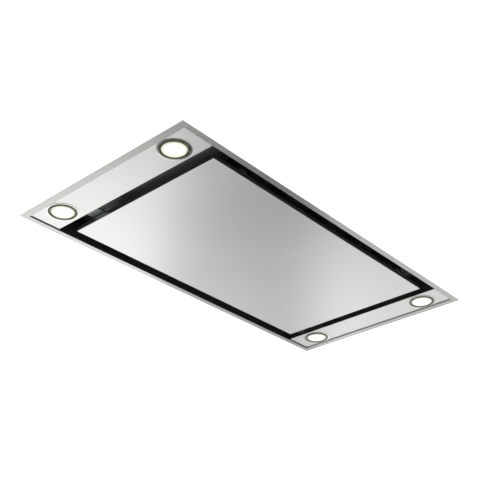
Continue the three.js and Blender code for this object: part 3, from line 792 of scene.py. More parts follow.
LINING = panel_back()
print("panel back:", [round(v / MM, 2) for v in LINING.dimensions])

# %% [markdown]
# ## Fasteners
# One pan head screw with a cross recess and one blind rivet are modelled here and then
# copied wherever the hood has one. They are small, so a few dozen faces are enough.

# %% Screw and rivet


def copied(obj, name, matrix):
    """A copy with its own mesh, moved by a matrix. A mirrored copy is turned outwards."""
    twin = obj.copy()
    twin.data = obj.data.copy()
    twin.name = name
    twin.data.name = name
    twin.data.transform(matrix)
    bpy.context.collection.objects.link(twin)
    return cleaned(twin) if matrix.determinant() < 0 else twin


def joined(name, objects):
    """Several objects as one."""
    take(objects[0])
    for obj in objects:
        obj.select_set(True)
    if len(objects) > 1:
        bpy.ops.object.join()
    objects[0].name = name
    objects[0].data.name = name
    return objects[0]


def screw():
    section = [(0, -0.5 * MM), (2.6 * MM, -0.5 * MM), (3.6 * MM, 0), (3.6 * MM, 0.7 * MM)]
    section += [(2.9 * MM, 1.7 * MM), (1.6 * MM, 2.2 * MM), (0, 2.3 * MM)]
    head = turned("screw", section, steps=16)
    long, short, deep, top = 1.7 * MM, 0.35 * MM, 1.1 * MM, 3 * MM
    bars = [block("bar", (-x, -y, deep), (x, y, top)) for x, y in ((long, short), (short, long))]
    return combine(head, "DIFFERENCE", bars)


def rivet():
    dome = arc((0, 0), 2.4 * MM, 0, 90, 4)
    flat = [(r, h * 0.45) for r, h in dome]
    return turned("rivet", [(0, -0.4 * MM), (2.4 * MM, -0.4 * MM), *flat], steps=14)


SCREW, RIVET = screw(), rivet()
print("screw faces:", len(SCREW.data.polygons), "rivet faces:", len(RIVET.data.polygons))

# %% Set fasteners


def fasten(kind, name, spots, way=(0, 0, 1), body="chassis", finish=ZINC, slot="zinc_steel"):
    """Copies a fastener to each spot, head along a way, as one piece."""
    turn = Vector(way).to_track_quat("Z", "Y").to_matrix().to_4x4()
    copies = [copied(kind, "copy", Matrix.Translation(spot) @ turn) for spot in spots]
    return dress(joined(name, copies), body, finish, slot)


# %% [markdown]
# ## Suction box
# The black box that hangs in the ceiling is four walls folded from one strip and a lid
# with a short fold over the walls. The corners are riveted, and long ribs pressed
# outwards keep the thin walls from ringing. The walls start as a box without its two
# large faces, get bent corners from a bevel and their gauge from Solidify.

# %% Box walls
BEND = 2.0 * MM
RIB_LEVELS = [30 * MM, 62 * MM]
RIB_HALF = 6 * MM
RIB_HEIGHT = 1.4 * MM
RIB_SLOPE = 2.5 * MM
RIB_REACH_X = 0.42
RIB_REACH_Y = 0.17


def open_box(name, low, high, missing, radius, gauge):
    """A box of bent sheet, without the faces whose normal passes a test."""
    shell = block(name, low, high)
    remove_faces(shell, missing)
    soften(shell, radius, 3)
    return modify(shell, "SOLIDIFY", thickness=gauge, offset=-1, use_even_offset=True)


def box_walls():
    low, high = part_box("suction_box")
    walls = open_box("box_walls", low, high, lambda n: abs(n.z) > 0.5, BEND, SHEET)
    slice_at(walls, "Z", [z + side * RIB_HALF for z in RIB_LEVELS for side in (-1, 1)])
    slice_at(walls, "X", [-RIB_REACH_X, RIB_REACH_X])
    slice_at(walls, "Y", [-RIB_REACH_Y, RIB_REACH_Y])
    on_level = lambda c: min(abs(c.z - z) for z in RIB_LEVELS) < RIB_HALF
    long_side = lambda c, n: abs(n.y) > 0.9 and n.y * c.y > 0 and abs(c.x) < RIB_REACH_X
    short_side = lambda c, n: abs(n.x) > 0.9 and n.x * c.x > 0 and abs(c.y) < RIB_REACH_Y
    for side in (long_side, short_side):
        pressed(walls, lambda c, n: on_level(c) and side(c, n), RIB_HEIGHT, RIB_SLOPE)
    return dress(walls, "chassis", BLACK_PAINT, "black_paint", "suction_box")


WALLS = box_walls()
print("wall faces:", len(WALLS.data.polygons))

# %% Box lid
LONG_SIDES = {"front": -1, "back": 1}
LID_FOLD = 9 * MM
LID_PLAY = 0.2 * MM
INLET_RADIUS = 93 * MM
RIVET_INSET = 14 * MM
RIVET_LEVELS_MM = (14, 46, 82)
LID_SCREW_LEVEL = 95 * MM
LID_SCREWS_X = (-0.36, -0.18, 0, 0.18, 0.36)


def box_lid():
    low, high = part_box("suction_box_top")
    grown = Vector((SHEET + LID_PLAY, SHEET + LID_PLAY, 0))
    bottom = low - grown - Vector((0, 0, LID_FOLD))
    lid = open_box("box_lid", bottom, high + grown, lambda n: n.z < -0.5, BEND, SHEET)
    inlet = rod("inlet", (0, 0, high.z), INLET_RADIUS, 30 * MM, sides=96)
    combine(lid, "DIFFERENCE", [inlet])
    return dress(lid, "chassis", BLACK_PAINT, "black_paint", "suction_box_top")


LID = box_lid()
wall_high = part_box("suction_box")[1]
corner_x = wall_high.x - RIVET_INSET
for name, side in LONG_SIDES.items():
    places = [(x, z * MM) for x in (-corner_x, corner_x) for z in RIVET_LEVELS_MM]
    spots = [(x, side * wall_high.y, z) for x, z in places]
    fasten(RIVET, f"corner_rivets_{name}", spots, (0, side, 0))
fold_y = wall_high.y + SHEET + LID_PLAY
for name, side in LONG_SIDES.items():
    spots = [(x, side * fold_y, LID_SCREW_LEVEL) for x in LID_SCREWS_X]
    fasten(SCREW, f"lid_screws_{name}", spots, (0, side, 0))
print("lid faces:", len(LID.data.polygons))

# %% [markdown]
# ## Lamp boxes and filter carrier
# A black angle at each end shuts the lamps off from the air, and a plate with three
# windows carries the grease filters. The angle is a box that loses all but its roof
# and its inner wall. The plate's windows are cut where the filters hang.

# %% Lamp boxes


def lamp_box(side):
    name = f"lamp_box_{side}"
    low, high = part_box(name)
    inner = lambda n: n.x * SIDES[side] < -0.5
    angle = open_box(f"lamp_cover_{side}", low, high, lambda n: not (n.z > 0.5 or inner(n)), 1.6 * MM, SHEET)
    return dress(cleaned(angle), "chassis", BLACK_PAINT, "black_paint", name)


COVERS = [lamp_box(side) for side in SIDES]
print("lamp covers:", [[round(v / MM, 1) for v in c.dimensions] for c in COVERS])

# %% Filter carrier
FILTERS = range(1, 4)
FILTER_LIP = 4 * MM


def filter_carrier():
    low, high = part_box("filter_carrier")
    plate = block("filter_shelf", low, high)
    lip = Vector((FILTER_LIP, FILTER_LIP, -20 * MM))
    boxes = [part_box(f"filter_frame_{i}") for i in FILTERS]
    windows = [block("window", low + lip, high - lip) for low, high in boxes]
    combine(plate, "DIFFERENCE", windows)
    soften(plate, 0.25 * MM, 1)
    return dress(plate, "chassis", BLACK_PAINT, "black_paint", "filter_carrier")


SHELF = filter_carrier()
shelf_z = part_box("filter_carrier")[0].z
spots = [(x * MM, y * MM, shelf_z) for x in (-395, -138.5, 138.5, 395) for y in (-222, 222)]
fasten(SCREW, "shelf_screws", spots, (0, 0, -1))
print("shelf faces:", len(SHELF.data.polygons))

# %% [markdown]
# ## Grease filters
# Each filter is an aluminium frame round a pleated sheet, with expanded metal on the
# side that meets the air. The frame is a flat flange with walls on it, joined at 45
# degrees in the corners, so a fine groove marks each mitre. The expanded metal is a grid
# whose faces are poked, relieved of their old edges so that diamonds are left, and
# turned into wires. The filters and their grips slide down together.

# %% Filter frames
FLANGE = 1.5 * MM
FILTER_WALL = 1.2 * MM
FILTER_LEDGE = 6 * MM
FILTER_PLAY = 1.5 * MM


def ring_block(name, low, high, wide):
    """A rectangular frame of a width between two corners."""
    cut = Vector((wide, wide, -BEND))
    frame_ring = block(name, low, high)
    return combine(frame_ring, "DIFFERENCE", [block("cut", low + cut, high - cut)])


def filter_frame(i):
    node = f"filter_frame_{i}"
    low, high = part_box(node)
    in_wall = Vector((FILTER_LIP + FILTER_PLAY, FILTER_LIP + FILTER_PLAY, 0))
    wide = FILTER_LIP + FILTER_PLAY + FILTER_WALL + FILTER_LEDGE
    flange = ring_block(f"filter_rim_{i}", low, Vector((high.x, high.y, low.z + FLANGE)), wide)
    walls = ring_block("walls", low + in_wall + Vector((0, 0, FLANGE / 2)), high - in_wall, FILTER_WALL)
    combine(flange, "UNION", [walls])
    for x, y in ((-1, -1), (1, -1), (-1, 1), (1, 1)):
        corner = Vector((high.x if x > 0 else low.x, high.y if y > 0 else low.y, low.z))
        groove = block("groove", (-30 * MM, -0.25 * MM, -0.3 * MM), (30 * MM, 0.25 * MM, 0.3 * MM))
        slant = Matrix.Rotation(math.atan2(y, x), 4, "Z")
        groove.data.transform(Matrix.Translation(corner) @ slant)
        combine(flange, "DIFFERENCE", [groove])
    return dress(flange, f"filter_{i}", ROLLED, "filter_aluminium", node)


FRAMES = [filter_frame(i) for i in FILTERS]
print("filter frame faces:", len(FRAMES[0].data.polygons))

# %% Pleats and expanded metal
PLEAT_PITCH = 12 * MM
DIAMOND = Vector((20 * MM, 9 * MM))
WIRE = 0.7 * MM


def sheet_grid(name, low, high, columns, rows, level):
    """A flat grid of faces between two corners."""
    bpy.ops.object.select_all(action="DESELECT")
    middle = ((low.x + high.x) / 2, (low.y + high.y) / 2, level)
    bpy.ops.mesh.primitive_grid_add(
        x_subdivisions=columns, y_subdivisions=rows, size=1, location=middle
    )
    bpy.context.object.scale = (high.x - low.x, high.y - low.y, 1)
    return started(name)


def pleats(i):
    low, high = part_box(f"filter_mesh_{i}")
    columns = 2 * round((high.x - low.x) / PLEAT_PITCH)
    step = (high.x - low.x) / columns
    sheet = sheet_grid(f"filter_pleats_{i}", low, high, columns, 1, low.z + 1.2 * MM)
    odd = lambda p: round((p.x - low.x) / step) % 2 == 1
    pick(sheet, lambda a, b: odd(a) and odd(b), "EDGE")
    bpy.ops.transform.translate(value=(0, 0, high.z - low.z - 2.4 * MM))
    leave()
    modify(sheet, "SOLIDIFY", thickness=0.5 * MM, offset=0)
    return sheet


def expanded_metal(i):
    low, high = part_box(f"filter_mesh_{i}")
    columns = round((high.x - low.x) / DIAMOND.x)
    rows = round((high.y - low.y) / DIAMOND.y)
    net = sheet_grid(f"filter_net_{i}", low, high, columns, rows, low.z + 0.45 * MM)
    pick_all(net)
    bpy.ops.mesh.poke()
    leave()
    edge = lambda p: min(p.x - low.x, high.x - p.x, p.y - low.y, high.y - p.y) < 0.01 * MM
    square = lambda a, b: min(abs(a.x - b.x), abs(a.y - b.y)) < 0.01 * MM
    pick(net, lambda a, b: square(a, b) and not (edge(a) and edge(b)), "EDGE")
    bpy.ops.mesh.dissolve_edges(use_verts=False)
    leave()
    return modify(net, "WIREFRAME", thickness=WIRE, use_even_offset=False)


for i in FILTERS:
    dress(pleats(i), f"filter_{i}", ROLLED, "filter_aluminium", f"filter_mesh_{i}")
    net = dress(expanded_metal(i), f"filter_{i}", ROLLED, "filter_aluminium")
print("net faces:", len(net.data.polygons))

# %% [markdown]
# ## Pieces that follow their CAD shape
# Where a CAD node already has the form of the real piece, a copy of its mesh is taken,
# its doubled corners are merged, its flat faces made whole again and its edges rounded
# as a tool or a mould would leave them. Screws, rivets and ribs are then added to it.

# %% Round off a copy of a node


def eased(node, name, radius, body, finish, slot, segments=2):
    """A copy of a node's shape with its edges rounded."""
    source = frame["nodes"][node]
    piece = bpy.data.objects.new(name, source.data.copy())
    piece.data.name = name
    piece.data.transform(source.matrix_world)
    bpy.context.collection.objects.link(piece)
    cleaned(piece)
    pick_all(piece)
    bpy.ops.mesh.dissolve_limited(angle_limit=math.radians(0.5))
    leave()
    soften(piece, radius, segments)
    return dress(piece, body, finish, slot, node)


GRIPS = [
    eased(f"filter_grip_{i}", f"pull_grip_{i}", 0.5 * MM, f"filter_{i}", BLACK_ABS, "black_plastic")
    for i in FILTERS
]
print("grip faces:", len(GRIPS[0].data.polygons))

# %% [markdown]
# ## Hinges and catches
# Two plated arms carry the panel. Each is screwed to the panel's back and turns on a
# pin in a bracket that is riveted to the lamp cover. At the front, two magnets in black
# holders pull on small strike plates and keep the panel shut.

# %% Hinges
ARM_SHEET = 3 * MM
ARM_SCREWS_X_MM = (342, 372)
ARM_SCREWS_Y_MM = (10, 28)  # from the arm's front end
EAR_RIVETS_Y_MM = (-6, 6)  # from the bracket's middle
EAR_RIVET_DROP = 7 * MM


def hinge(side):
    way = SIDES[side]
    # The arm's darker zinc is painted shade.
    arm = eased(
        f"hinge_arm_{side}", f"panel_arm_{side}", 0.6 * MM, "panel", SHADED_ZINC, "zinc_steel"
    )
    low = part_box(f"hinge_arm_{side}")[0]
    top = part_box("panel_back")[1].z + SEAT + ARM_SHEET
    spots = [
        (way * x * MM, low.y + y * MM, top) for x in ARM_SCREWS_X_MM for y in ARM_SCREWS_Y_MM
    ]
    fasten(SCREW, f"arm_screws_{side}", spots, body="panel")
    ear_low, ear_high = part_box(f"hinge_bracket_{side}")
    eased(f"hinge_bracket_{side}", f"arm_bracket_{side}", 0.6 * MM, "chassis", ZINC, "zinc_steel")
    face = ear_low.x if way > 0 else ear_high.x
    ear_y = (ear_low.y + ear_high.y) / 2
    rivets = [(face, ear_y + y * MM, ear_high.z - EAR_RIVET_DROP) for y in EAR_RIVETS_Y_MM]
    fasten(RIVET, f"bracket_rivets_{side}", rivets, (-way, 0, 0))
    eased(f"hinge_pin_{side}", f"arm_pin_{side}", 0.5 * MM, "panel", ZINC, "zinc_steel")
    return arm


ARMS = [hinge(side) for side in SIDES]
print("hinge arms:", [a.name for a in ARMS])

# %% Catches
POLE_SHEET = 0.7 * MM
POLE_INSET = 3 * MM
POLE_LIFT = 0.2 * MM
POLE_TOP = 9 * MM


def catch(side):
    """A magnet holder with its two pole plates, and the strike plate that they pull on."""
    low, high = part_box(f"catch_{side}")
    eased(f"catch_{side}", f"magnet_holder_{side}", 0.8 * MM, "chassis", BLACK_ABS, "black_plastic")
    strike_low, strike_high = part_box(f"catch_strike_{side}")
    for name, y, out in (("front", strike_low.y, -POLE_SHEET), ("back", strike_high.y, POLE_SHEET)):
        near, far = sorted((y, y + out))
        corner = (low.x + POLE_INSET, near, low.z + POLE_LIFT)
        plate = block(f"pole_{name}_{side}", corner, (high.x - POLE_INSET, far, low.z + POLE_TOP))
        dress(soften(plate, 0.2 * MM, 1), "chassis", ZINC, "zinc_steel")
    return eased(
        f"catch_strike_{side}", f"strike_plate_{side}", 0.3 * MM, "panel", ZINC, "zinc_steel"
    )


STRIKES = [catch(side) for side in SIDES]
print("strikes:", [s.name for s in STRIKES])

# %% [markdown]
# ## Motor housing
# The case on top is galvanised sheet: a box with a lid whose edge laps over the walls.
# Its large flat top is cross-broken, which means bent very slightly along its two
# diagonals so that it doesn't drum. The box loses its bottom, the top is inset and poked
# down, and a round hole is cut for the duct.

# %% Motor housing
LAP = 16 * MM
LAP_SHEET = 0.8 * MM
BREAK_DEPTH = 2 * MM
DUCT_BORE = 73.5 * MM


def motor_housing():
    low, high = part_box("motor_housing")
    case = block("motor_case", low, high)
    remove_faces(case, lambda n: n.z < -0.5)
    soften(case, BEND, 3)
    slice_at(case, "Z", [high.z - LAP])
    pick(case, lambda c, n: c.z > high.z - LAP)
    bpy.ops.mesh.extrude_region_move()
    wider = (1 + LAP_SHEET / high.x, 1 + LAP_SHEET / high.y, 1)
    bpy.ops.transform.resize(value=wider, center_override=(0, 0, high.z))
    leave()
    return case


CASE = motor_housing()
print("case:", [round(v / MM, 1) for v in CASE.dimensions], len(CASE.data.polygons))

# %% Finish the case
TOP_INSET = 9 * MM
CASE_SCREWS_X = (-0.2, 0, 0.2)


def finish_case(case):
    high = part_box("motor_housing")[1]
    pick(case, lambda c, n: n.z > 0.99 and c.z > high.z - MM)
    bpy.ops.mesh.inset(thickness=TOP_INSET, depth=0)
    bpy.ops.mesh.poke(offset=-BREAK_DEPTH)
    leave()
    cleaned(case)
    modify(case, "SOLIDIFY", thickness=SHEET, offset=-1, use_even_offset=True)
    collar = middle_of("duct_collar")
    outlet = rod("outlet", (high.x, collar.y, collar.z), DUCT_BORE, 40 * MM, "X", 96)
    combine(case, "DIFFERENCE", [outlet])
    return dress(case, "chassis", GALVANISED, "galvanised", "motor_housing", smooth=20)


finish_case(CASE)
case_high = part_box("motor_housing")[1]
for name, side in LONG_SIDES.items():
    lap_y = side * (case_high.y + LAP_SHEET)
    spots = [(x, lap_y, case_high.z - LAP / 2) for x in CASE_SCREWS_X]
    fasten(SCREW, f"case_screws_{name}", spots, (0, side, 0))
print("case faces:", len(CASE.data.polygons))

# %% Foot angles
FOOT = 12 * MM
FOOT_PLAY = 0.2 * MM
FOOT_BEND = 1.2 * MM
FOOT_SCREW_OUT = 7.5 * MM
FOOT_SCREWS_X = (-0.2, -0.07, 0.07, 0.2)


def foot_angle(name, side):
    """A low angle along one side of the case, screwed down on the box's lid."""
    low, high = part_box("motor_housing")
    y = high.y if side > 0 else low.y
    near, far = sorted((y + side * FOOT_PLAY, y + side * (FOOT + FOOT_PLAY)))
    angle = open_box(
        f"case_foot_{name}", (low.x, near, low.z), (high.x, far, low.z + FOOT),
        lambda n: not (n.z < -0.5 or n.y * side < -0.5), FOOT_BEND, SHEET,
    )
    dress(cleaned(angle), "chassis", GALVANISED, "galvanised")
    spots = [(x, y + side * FOOT_SCREW_OUT, low.z + SHEET) for x in FOOT_SCREWS_X]
    return fasten(SCREW, f"foot_screws_{name}", spots)


FEET = [foot_angle(name, side) for name, side in LONG_SIDES.items()]
print("foot screws:", [f.name for f in FEET])

# %% [markdown]
# ## Duct collar and damper
# The collar is moulded plastic: a flange against the case, a round spigot for the duct
# and two raised rings that a hose clamp grips between. It is a spun section like the
# lamp rings, but round the duct's axis. Inside, two half discs of aluminium swing on an
# upright pin, and a small spring on the pin shuts each of them.

# %% Duct collar
TUBE_RADIUS = 75 * MM
CLAMP_RINGS = (22 * MM, 7 * MM)  # from the open end
RIVET_CIRCLE = 79.5 * MM


def duct_collar():
    low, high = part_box("duct_collar")
    middle = middle_of("duct_collar")
    rim = (high.z - low.z) / 2
    long = high.x - low.x
    rings = []
    for place in [long - inward for inward in CLAMP_RINGS]:
        rings += [(TUBE_RADIUS, place - 1.6 * MM), (TUBE_RADIUS + 1.3 * MM, place - 0.6 * MM)]
        rings += [(TUBE_RADIUS + 1.3 * MM, place + 0.6 * MM), (TUBE_RADIUS, place + 1.6 * MM)]
    section = [
        (DUCT_BORE, 0), (rim, 0), (rim, 1.2 * MM), (rim - 0.5 * MM, 1.6 * MM),
        (TUBE_RADIUS + 1.2 * MM, 1.7 * MM), (TUBE_RADIUS, 3 * MM), *rings,
        (TUBE_RADIUS, long - 0.6 * MM), (TUBE_RADIUS - 0.6 * MM, long),
        (DUCT_BORE, long), (DUCT_BORE, 0),
    ]
    collar = turned("duct_spigot", section, (low.x, middle.y, middle.z), "X", 96)
    dress(collar, "chassis", GREY_PP, "grey_plastic", "duct_collar")
    angles = [math.radians(45 + 90 * k) for k in range(4)]
    around = [(RIVET_CIRCLE * math.cos(a), RIVET_CIRCLE * math.sin(a)) for a in angles]
    spots = [(low.x + 1.6 * MM, middle.y + y, middle.z + z) for y, z in around]
    fasten(RIVET, "collar_rivets", spots, (1, 0, 0))
    return collar


COLLAR = duct_collar()
print("collar faces:", len(COLLAR.data.polygons))

# %% [markdown]
# ## Electrics
# The control box is a black moulded tray with a lid held by four screws. Its cable
# enters through a gland with a six-sided nut. The driver for the lamps is a small
# closed module with a screw in each of its ears and a terminal block at one end.

# %% Control box
COVER_SCREW_SINK = 0.6 * MM
COVER_SCREW_INSET = 9 * MM
eased("control_box", "control_tray", 1.0 * MM, "chassis", BLACK_ABS, "black_plastic")
cover = eased("control_box_lid", "control_cover", 0.5 * MM, "chassis", BLACK_ABS, "black_plastic")
box_low, box_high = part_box("control_box_lid")
spots = [
    (x, y, box_high.z - COVER_SCREW_SINK)
    for x in (box_low.x + COVER_SCREW_INSET, box_high.x - COVER_SCREW_INSET)
    for y in (box_low.y + COVER_SCREW_INSET, box_high.y - COVER_SCREW_INSET)
]
fasten(SCREW, "cover_screws", spots)
tray_low, tray_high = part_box("control_box")
print("control cover faces:", len(cover.data.polygons))

# %% Ribs of the tray
RIB_COUNT = 7
RIB_STEP = 30 * MM
FIRST_RIB = -90 * MM
RIB_OUT = 1.2 * MM
RIB_THIN = 0.8 * MM  # half its thickness
RIB_MARGIN = 4 * MM


def tray_rib(k, side):
    """A low upright rib on the long side of the control tray."""
    x = tray_low.x if side < 0 else tray_high.x
    y = FIRST_RIB + k * RIB_STEP
    near, far = sorted((x, x + side * RIB_OUT))
    low = (near, y - RIB_THIN, tray_low.z + RIB_MARGIN)
    return soften(block("rib", low, (far, y + RIB_THIN, tray_high.z - RIB_MARGIN)), 0.4 * MM, 2)


for name, side in SIDES.items():
    ribs = joined(f"tray_ribs_{name}", [tray_rib(k, side) for k in range(RIB_COUNT)])
    dress(ribs, "chassis", BLACK_ABS, "black_plastic")
print("rib step in mm:", RIB_STEP / MM)

# %% Cable gland
HEXAGON = 0.866  # half the width across the flats, as a part of the outer radius


def cable_gland():
    low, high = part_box("cable_gland")
    middle = middle_of("cable_gland")
    start = tray_high.y + SEAT
    half = (high.x - low.x) / 2
    bore, thread = 4 * MM, 8 * MM
    cap = HEXAGON * half * 0.98
    section = [
        (bore, low.y), (thread, low.y), (thread, start), (cap, start), (cap, start + 9 * MM),
        (thread + 2 * MM, start + 12.5 * MM), (thread, high.y - 1 * MM), (thread - 1 * MM, high.y),
        (bore, high.y), (bore, low.y),
    ]
    body = turned("gland", section, (middle.x, 0, middle.z), "Y", 48)
    nut = rod("nut", (middle.x, start + 4.5 * MM, middle.z), half, 8 * MM, "Y", 6)
    hole = rod("hole", (middle.x, start, middle.z), thread, 60 * MM, "Y", 48)
    combine(nut, "DIFFERENCE", [hole])
    soften(nut, 0.5 * MM, 2)
    gland = joined("gland", [body, nut])
    return dress(gland, "chassis", GREY_PP, "grey_plastic", "cable_gland")


GLAND = cable_gland()
print("gland faces:", len(GLAND.data.polygons))

# %% Lamp driver
eased("lamp_driver", "driver_module", 1.2 * MM, "chassis", GREY_PP, "grey_plastic")
driver_low, driver_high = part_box("lamp_driver")
driver_y = (driver_low.y + driver_high.y) / 2
ear_z = driver_low.z + 2 * MM
spots = [(x, driver_y, ear_z) for x in (driver_low.x + 4.5 * MM, driver_high.x - 4.5 * MM)]
fasten(SCREW, "driver_screws", spots)

# %% Terminal block
WAYS_Y_MM = (-15, -5, 5, 15)
WAY_HALF_X = 6 * MM
WAY_HALF_Y = 4.6 * MM
WAY_TOP = 7 * MM
WAY_SCREW_TOP = 5.6 * MM
way_x = driver_low.x + 22 * MM


def terminal(y):
    """One way of the terminal block on top of the driver."""
    low = (way_x - WAY_HALF_X, y - WAY_HALF_Y, driver_high.z - 0.2 * MM)
    high = (way_x + WAY_HALF_X, y + WAY_HALF_Y, driver_high.z + WAY_TOP)
    return soften(block("way", low, high), 0.6 * MM, 2)


ways = [driver_y + y * MM for y in WAYS_Y_MM]
terminals = joined("terminal_block", [terminal(y) for y in ways])
dress(terminals, "chassis", BLACK_ABS, "black_plastic")
fasten(SCREW, "terminal_screws", [(way_x, y, driver_high.z + WAY_SCREW_TOP) for y in ways])
print("terminal faces:", len(terminals.data.polygons))

# %% [markdown]
# ## Suspension brackets
# Four plated brackets bent to a C hang the hood on threaded rods. Each is one strip: a
# foot, an upright and a tab. It is a box that loses all but these three faces, is
# rounded at the bends and given its gauge. A slot lets the rod be shifted when it is
# hung.

# %% Suspension brackets
BRACKET_SHEET = 2 * MM
BRACKET_BEND = 2.5 * MM
FOOT_SCREW_HALF = 15 * MM
FOOT_SCREW_SHIFT = 2 * MM
SLOT_WIDTH = 9 * MM
SLOT_LENGTH = 24 * MM
SLOT_SHIFT = 1 * MM


def bracket_strip(i):
    low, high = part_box(f"suspension_bracket_{i}")
    outward_y = 1 if low.y > 0 else -1
    strip = block(f"hanger_{i}", low, high)
    remove_faces(strip, lambda n: not (abs(n.z) > 0.5 or n.y * outward_y < -0.5))
    soften(strip, BRACKET_BEND, 4)
    modify(strip, "SOLIDIFY", thickness=BRACKET_SHEET, offset=-1, use_even_offset=True)
    return strip, outward_y


def hanger(i):
    strip, way = bracket_strip(i)
    low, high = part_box(f"suspension_bracket_{i}")
    x, y = (low.x + high.x) / 2, (low.y + high.y) / 2 + way * SLOT_SHIFT
    half = (SLOT_LENGTH - SLOT_WIDTH) / 2
    wide = SLOT_WIDTH / 2
    slot = block("slot", (x - wide, y - half, high.z - 9 * MM), (x + wide, y + half, high.z + 9 * MM))
    ends = [rod("end", (x, y + s * half, high.z), wide, 18 * MM, sides=32) for s in (-1, 1)]
    combine(strip, "DIFFERENCE", [slot, *ends])
    soften(strip, 0.25 * MM, 1, 60)
    screw_y = y + way * FOOT_SCREW_SHIFT
    spots = [(x + s * FOOT_SCREW_HALF, screw_y, low.z + BRACKET_SHEET) for s in (-1, 1)]
    fasten(SCREW, f"hanger_screws_{i}", spots)
    return dress(cleaned(strip), "chassis", ZINC, "zinc_steel", f"suspension_bracket_{i}")


HANGERS = [hanger(i) for i in range(1, 5)]
print("hanger faces:", len(HANGERS[0].data.polygons))

# %% [markdown]
# ## Nodes that keep their shape
# The fan, its casing and motor sit inside the case, and their CAD shapes are the shapes
# of the real pieces. They stay, and get the finish of the real material in their
# objects' material slots.

# %% Finishes for the nodes that keep their shape
KEPT = {
    BLACK_ABS: ["fan_casing"],
    CAST: ["fan_motor"],
    ZINC: ["motor_mount", "damper_pin", "fan_shaft"],
    GREY_PP: ["fan_wheel"],
    ROLLED: ["damper_flap_back", "damper_flap_front"],
}
for finish, names in KEPT.items():
    for name in names:
        for place in frame["nodes"][name].material_slots:
            place.material = finish
for used_up in (SCREW, RIVET):
    bpy.data.objects.remove(used_up)
print("nodes kept:", sum(len(names) for names in KEPT.values()))

# %% [markdown]
# ## Studio
# The steel shows what stands round it, so the studio is what gives the panel its
# gradient. Four soft boxes stand low beyond the hood: a bright one at the left, a weak
# wide one round it, a small one in the middle and one at the right. Three wide ones on
# the other sides light the walls inside the slot and give the steel something to show
# from there, and one above lights the case. The rest of the world is dark below, so that
# the chrome stays dark, and bright above. The camera itself sees a plain white world. A
# round pale floor lies well below the hood.

# %% World
WORLD_STOPS = [(0.0, "#595959"), (0.75, "#595959"), (0.9, "#f4f4f4"), (1.0, "#f4f4f4")]


def world():
    made = bpy.data.worlds.new("studio")
    made.use_nodes = True
    tree = made.node_tree
    tree.nodes.clear()
    way = add(tree, "ShaderNodeTexCoord").outputs["Generated"]
    height = add(tree, "ShaderNodeSeparateXYZ", {"Vector": way}).outputs["Z"]
    part = add(tree, "ShaderNodeMapRange", {0: height, 1: -1.0, 2: 1.0}).outputs[0]
    tone = add(tree, "ShaderNodeValToRGB", {0: part}, WORLD_STOPS).outputs[0]
    room = add(tree, "ShaderNodeBackground", {"Color": tone})
    plain = add(tree, "ShaderNodeBackground", {"Color": (1, 1, 1, 1)})
    seen = add(tree, "ShaderNodeLightPath").outputs["Is Camera Ray"]
    mixed = add(tree, "ShaderNodeMixShader", {0: seen, 1: room.outputs[0], 2: plain.outputs[0]})
    add(tree, "ShaderNodeOutputWorld", {"Surface": mixed.outputs[0]})
    bpy.context.scene.world = made


world()
bpy.context.scene.view_settings.view_transform = "Standard"
print("world stops:", len(WORLD_STOPS))

# %% Soft boxes
BOX_DISTANCE = 3.2


def soft_box(name, heading, rise, wide, high, glow):
    """An area light at a heading and a rise, as wide and high as it looks in degrees.

    Glow is how bright its face is, where 1 is white, and gives the power it needs.
    """
    a, e = math.radians(heading), math.radians(rise)
    way = Vector((math.sin(a) * math.cos(e), math.cos(a) * math.cos(e), math.sin(e)))
    data = bpy.data.lights.new(name, "AREA")
    data.shape = "RECTANGLE"
    data.size = 2 * BOX_DISTANCE * math.tan(math.radians(wide / 2))
    data.size_y = 2 * BOX_DISTANCE * math.tan(math.radians(high / 2))
    data.energy = math.pi * data.size * data.size_y * glow
    light = bpy.data.objects.new(name, data)
    bpy.context.collection.objects.link(light)
    turn = way.to_track_quat("Z", "Y").to_matrix().to_4x4()
    light.matrix_world = Matrix.Translation(way * BOX_DISTANCE) @ turn
    return light


soft_box("left box", 24, -28, 24, 24, 1.37)
soft_box("wide box", 30, -22, 36, 36, 0.3)
soft_box("middle box", 48, -18, 24, 24, 0.59)
soft_box("right box", 72, -22, 28, 28, 0.97)
for k, heading in enumerate((142, 232, 322)):
    soft_box(f"side box {k + 1}", heading, -24, 62, 40, 0.5)
soft_box("upper box", 200, 55, 44, 44, 3.0)
print("lights:", len(bpy.data.lights))

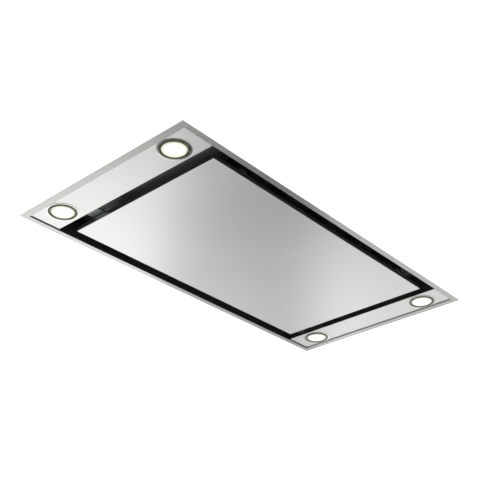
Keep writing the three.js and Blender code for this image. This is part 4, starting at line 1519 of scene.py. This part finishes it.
# %% [markdown]
# ## Floor and ceiling
# The floor lies far enough below the hood not to be mirrored in the panel. In use the
# hood hangs in a ceiling, which hides all of it but its rim. A white board with a
# cut-out stands for that ceiling. It lies on the rim as plasterboard does, so from below
# the picture shows what a cook sees, and from above the box stands clear.

# %% Floor
FLOOR_DROP = 2.5
FLOOR_RADIUS = 2.4


def matt(tree, place, light, dark, patch, glow=0.0):
    clouds = add(tree, "ShaderNodeTexNoise", {"Vector": place, "Scale": 1 / patch, "Detail": 3.0})
    tone = add(tree, "ShaderNodeValToRGB", {0: clouds.outputs[0]}, [(0.3, dark), (0.7, light)])
    return {
        "Base Color": tone.outputs[0], "Roughness": 0.85,
        "Emission Color": tone.outputs[0], "Emission Strength": glow,
    }


def floor():
    middle = (0, 0, -FLOOR_DROP - 10 * MM)
    disc = rod("floor", middle, FLOOR_RADIUS, 20 * MM, sides=128)
    soften(disc, 5 * MM, 2)
    plaster = material("plaster, matt and pale", matt, light="#f6f6f4", dark="#f2f2f0", patch=0.4)
    disc.data.materials.append(plaster)


floor()
print("floor at", -FLOOR_DROP, "m")

# %% Ceiling
CEILING_BOARD = 12.5 * MM
CEILING_HALF = 3.0
CUT_PLAY = 4 * MM


def ceiling():
    box_low, box_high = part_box("suction_box")
    bottom = box_low.z + SEAT
    half = Vector((CEILING_HALF, CEILING_HALF, 0))
    up = Vector((0, 0, 1))
    board = block("ceiling", up * bottom - half, up * (bottom + CEILING_BOARD) + half)
    play = Vector((CUT_PLAY, CUT_PLAY, 0))
    combine(board, "DIFFERENCE", [block("cut", box_low - play - up, box_high + play + up)])
    paint = material("plasterboard, painted white", matt, light="#f8f8f7", dark="#f4f4f3", patch=0.5)
    lit = material(
        "plasterboard, lit from below", matt, light="#ffffff", dark="#fefefe", patch=0.5, glow=0.7
    )
    board.data.materials.append(paint)
    board.data.materials.append(lit)
    for face in board.data.polygons:
        face.material_index = 1 if face.normal.z < -0.5 else 0


ceiling()
print("ceiling board thickness in mm:", CEILING_BOARD / MM)
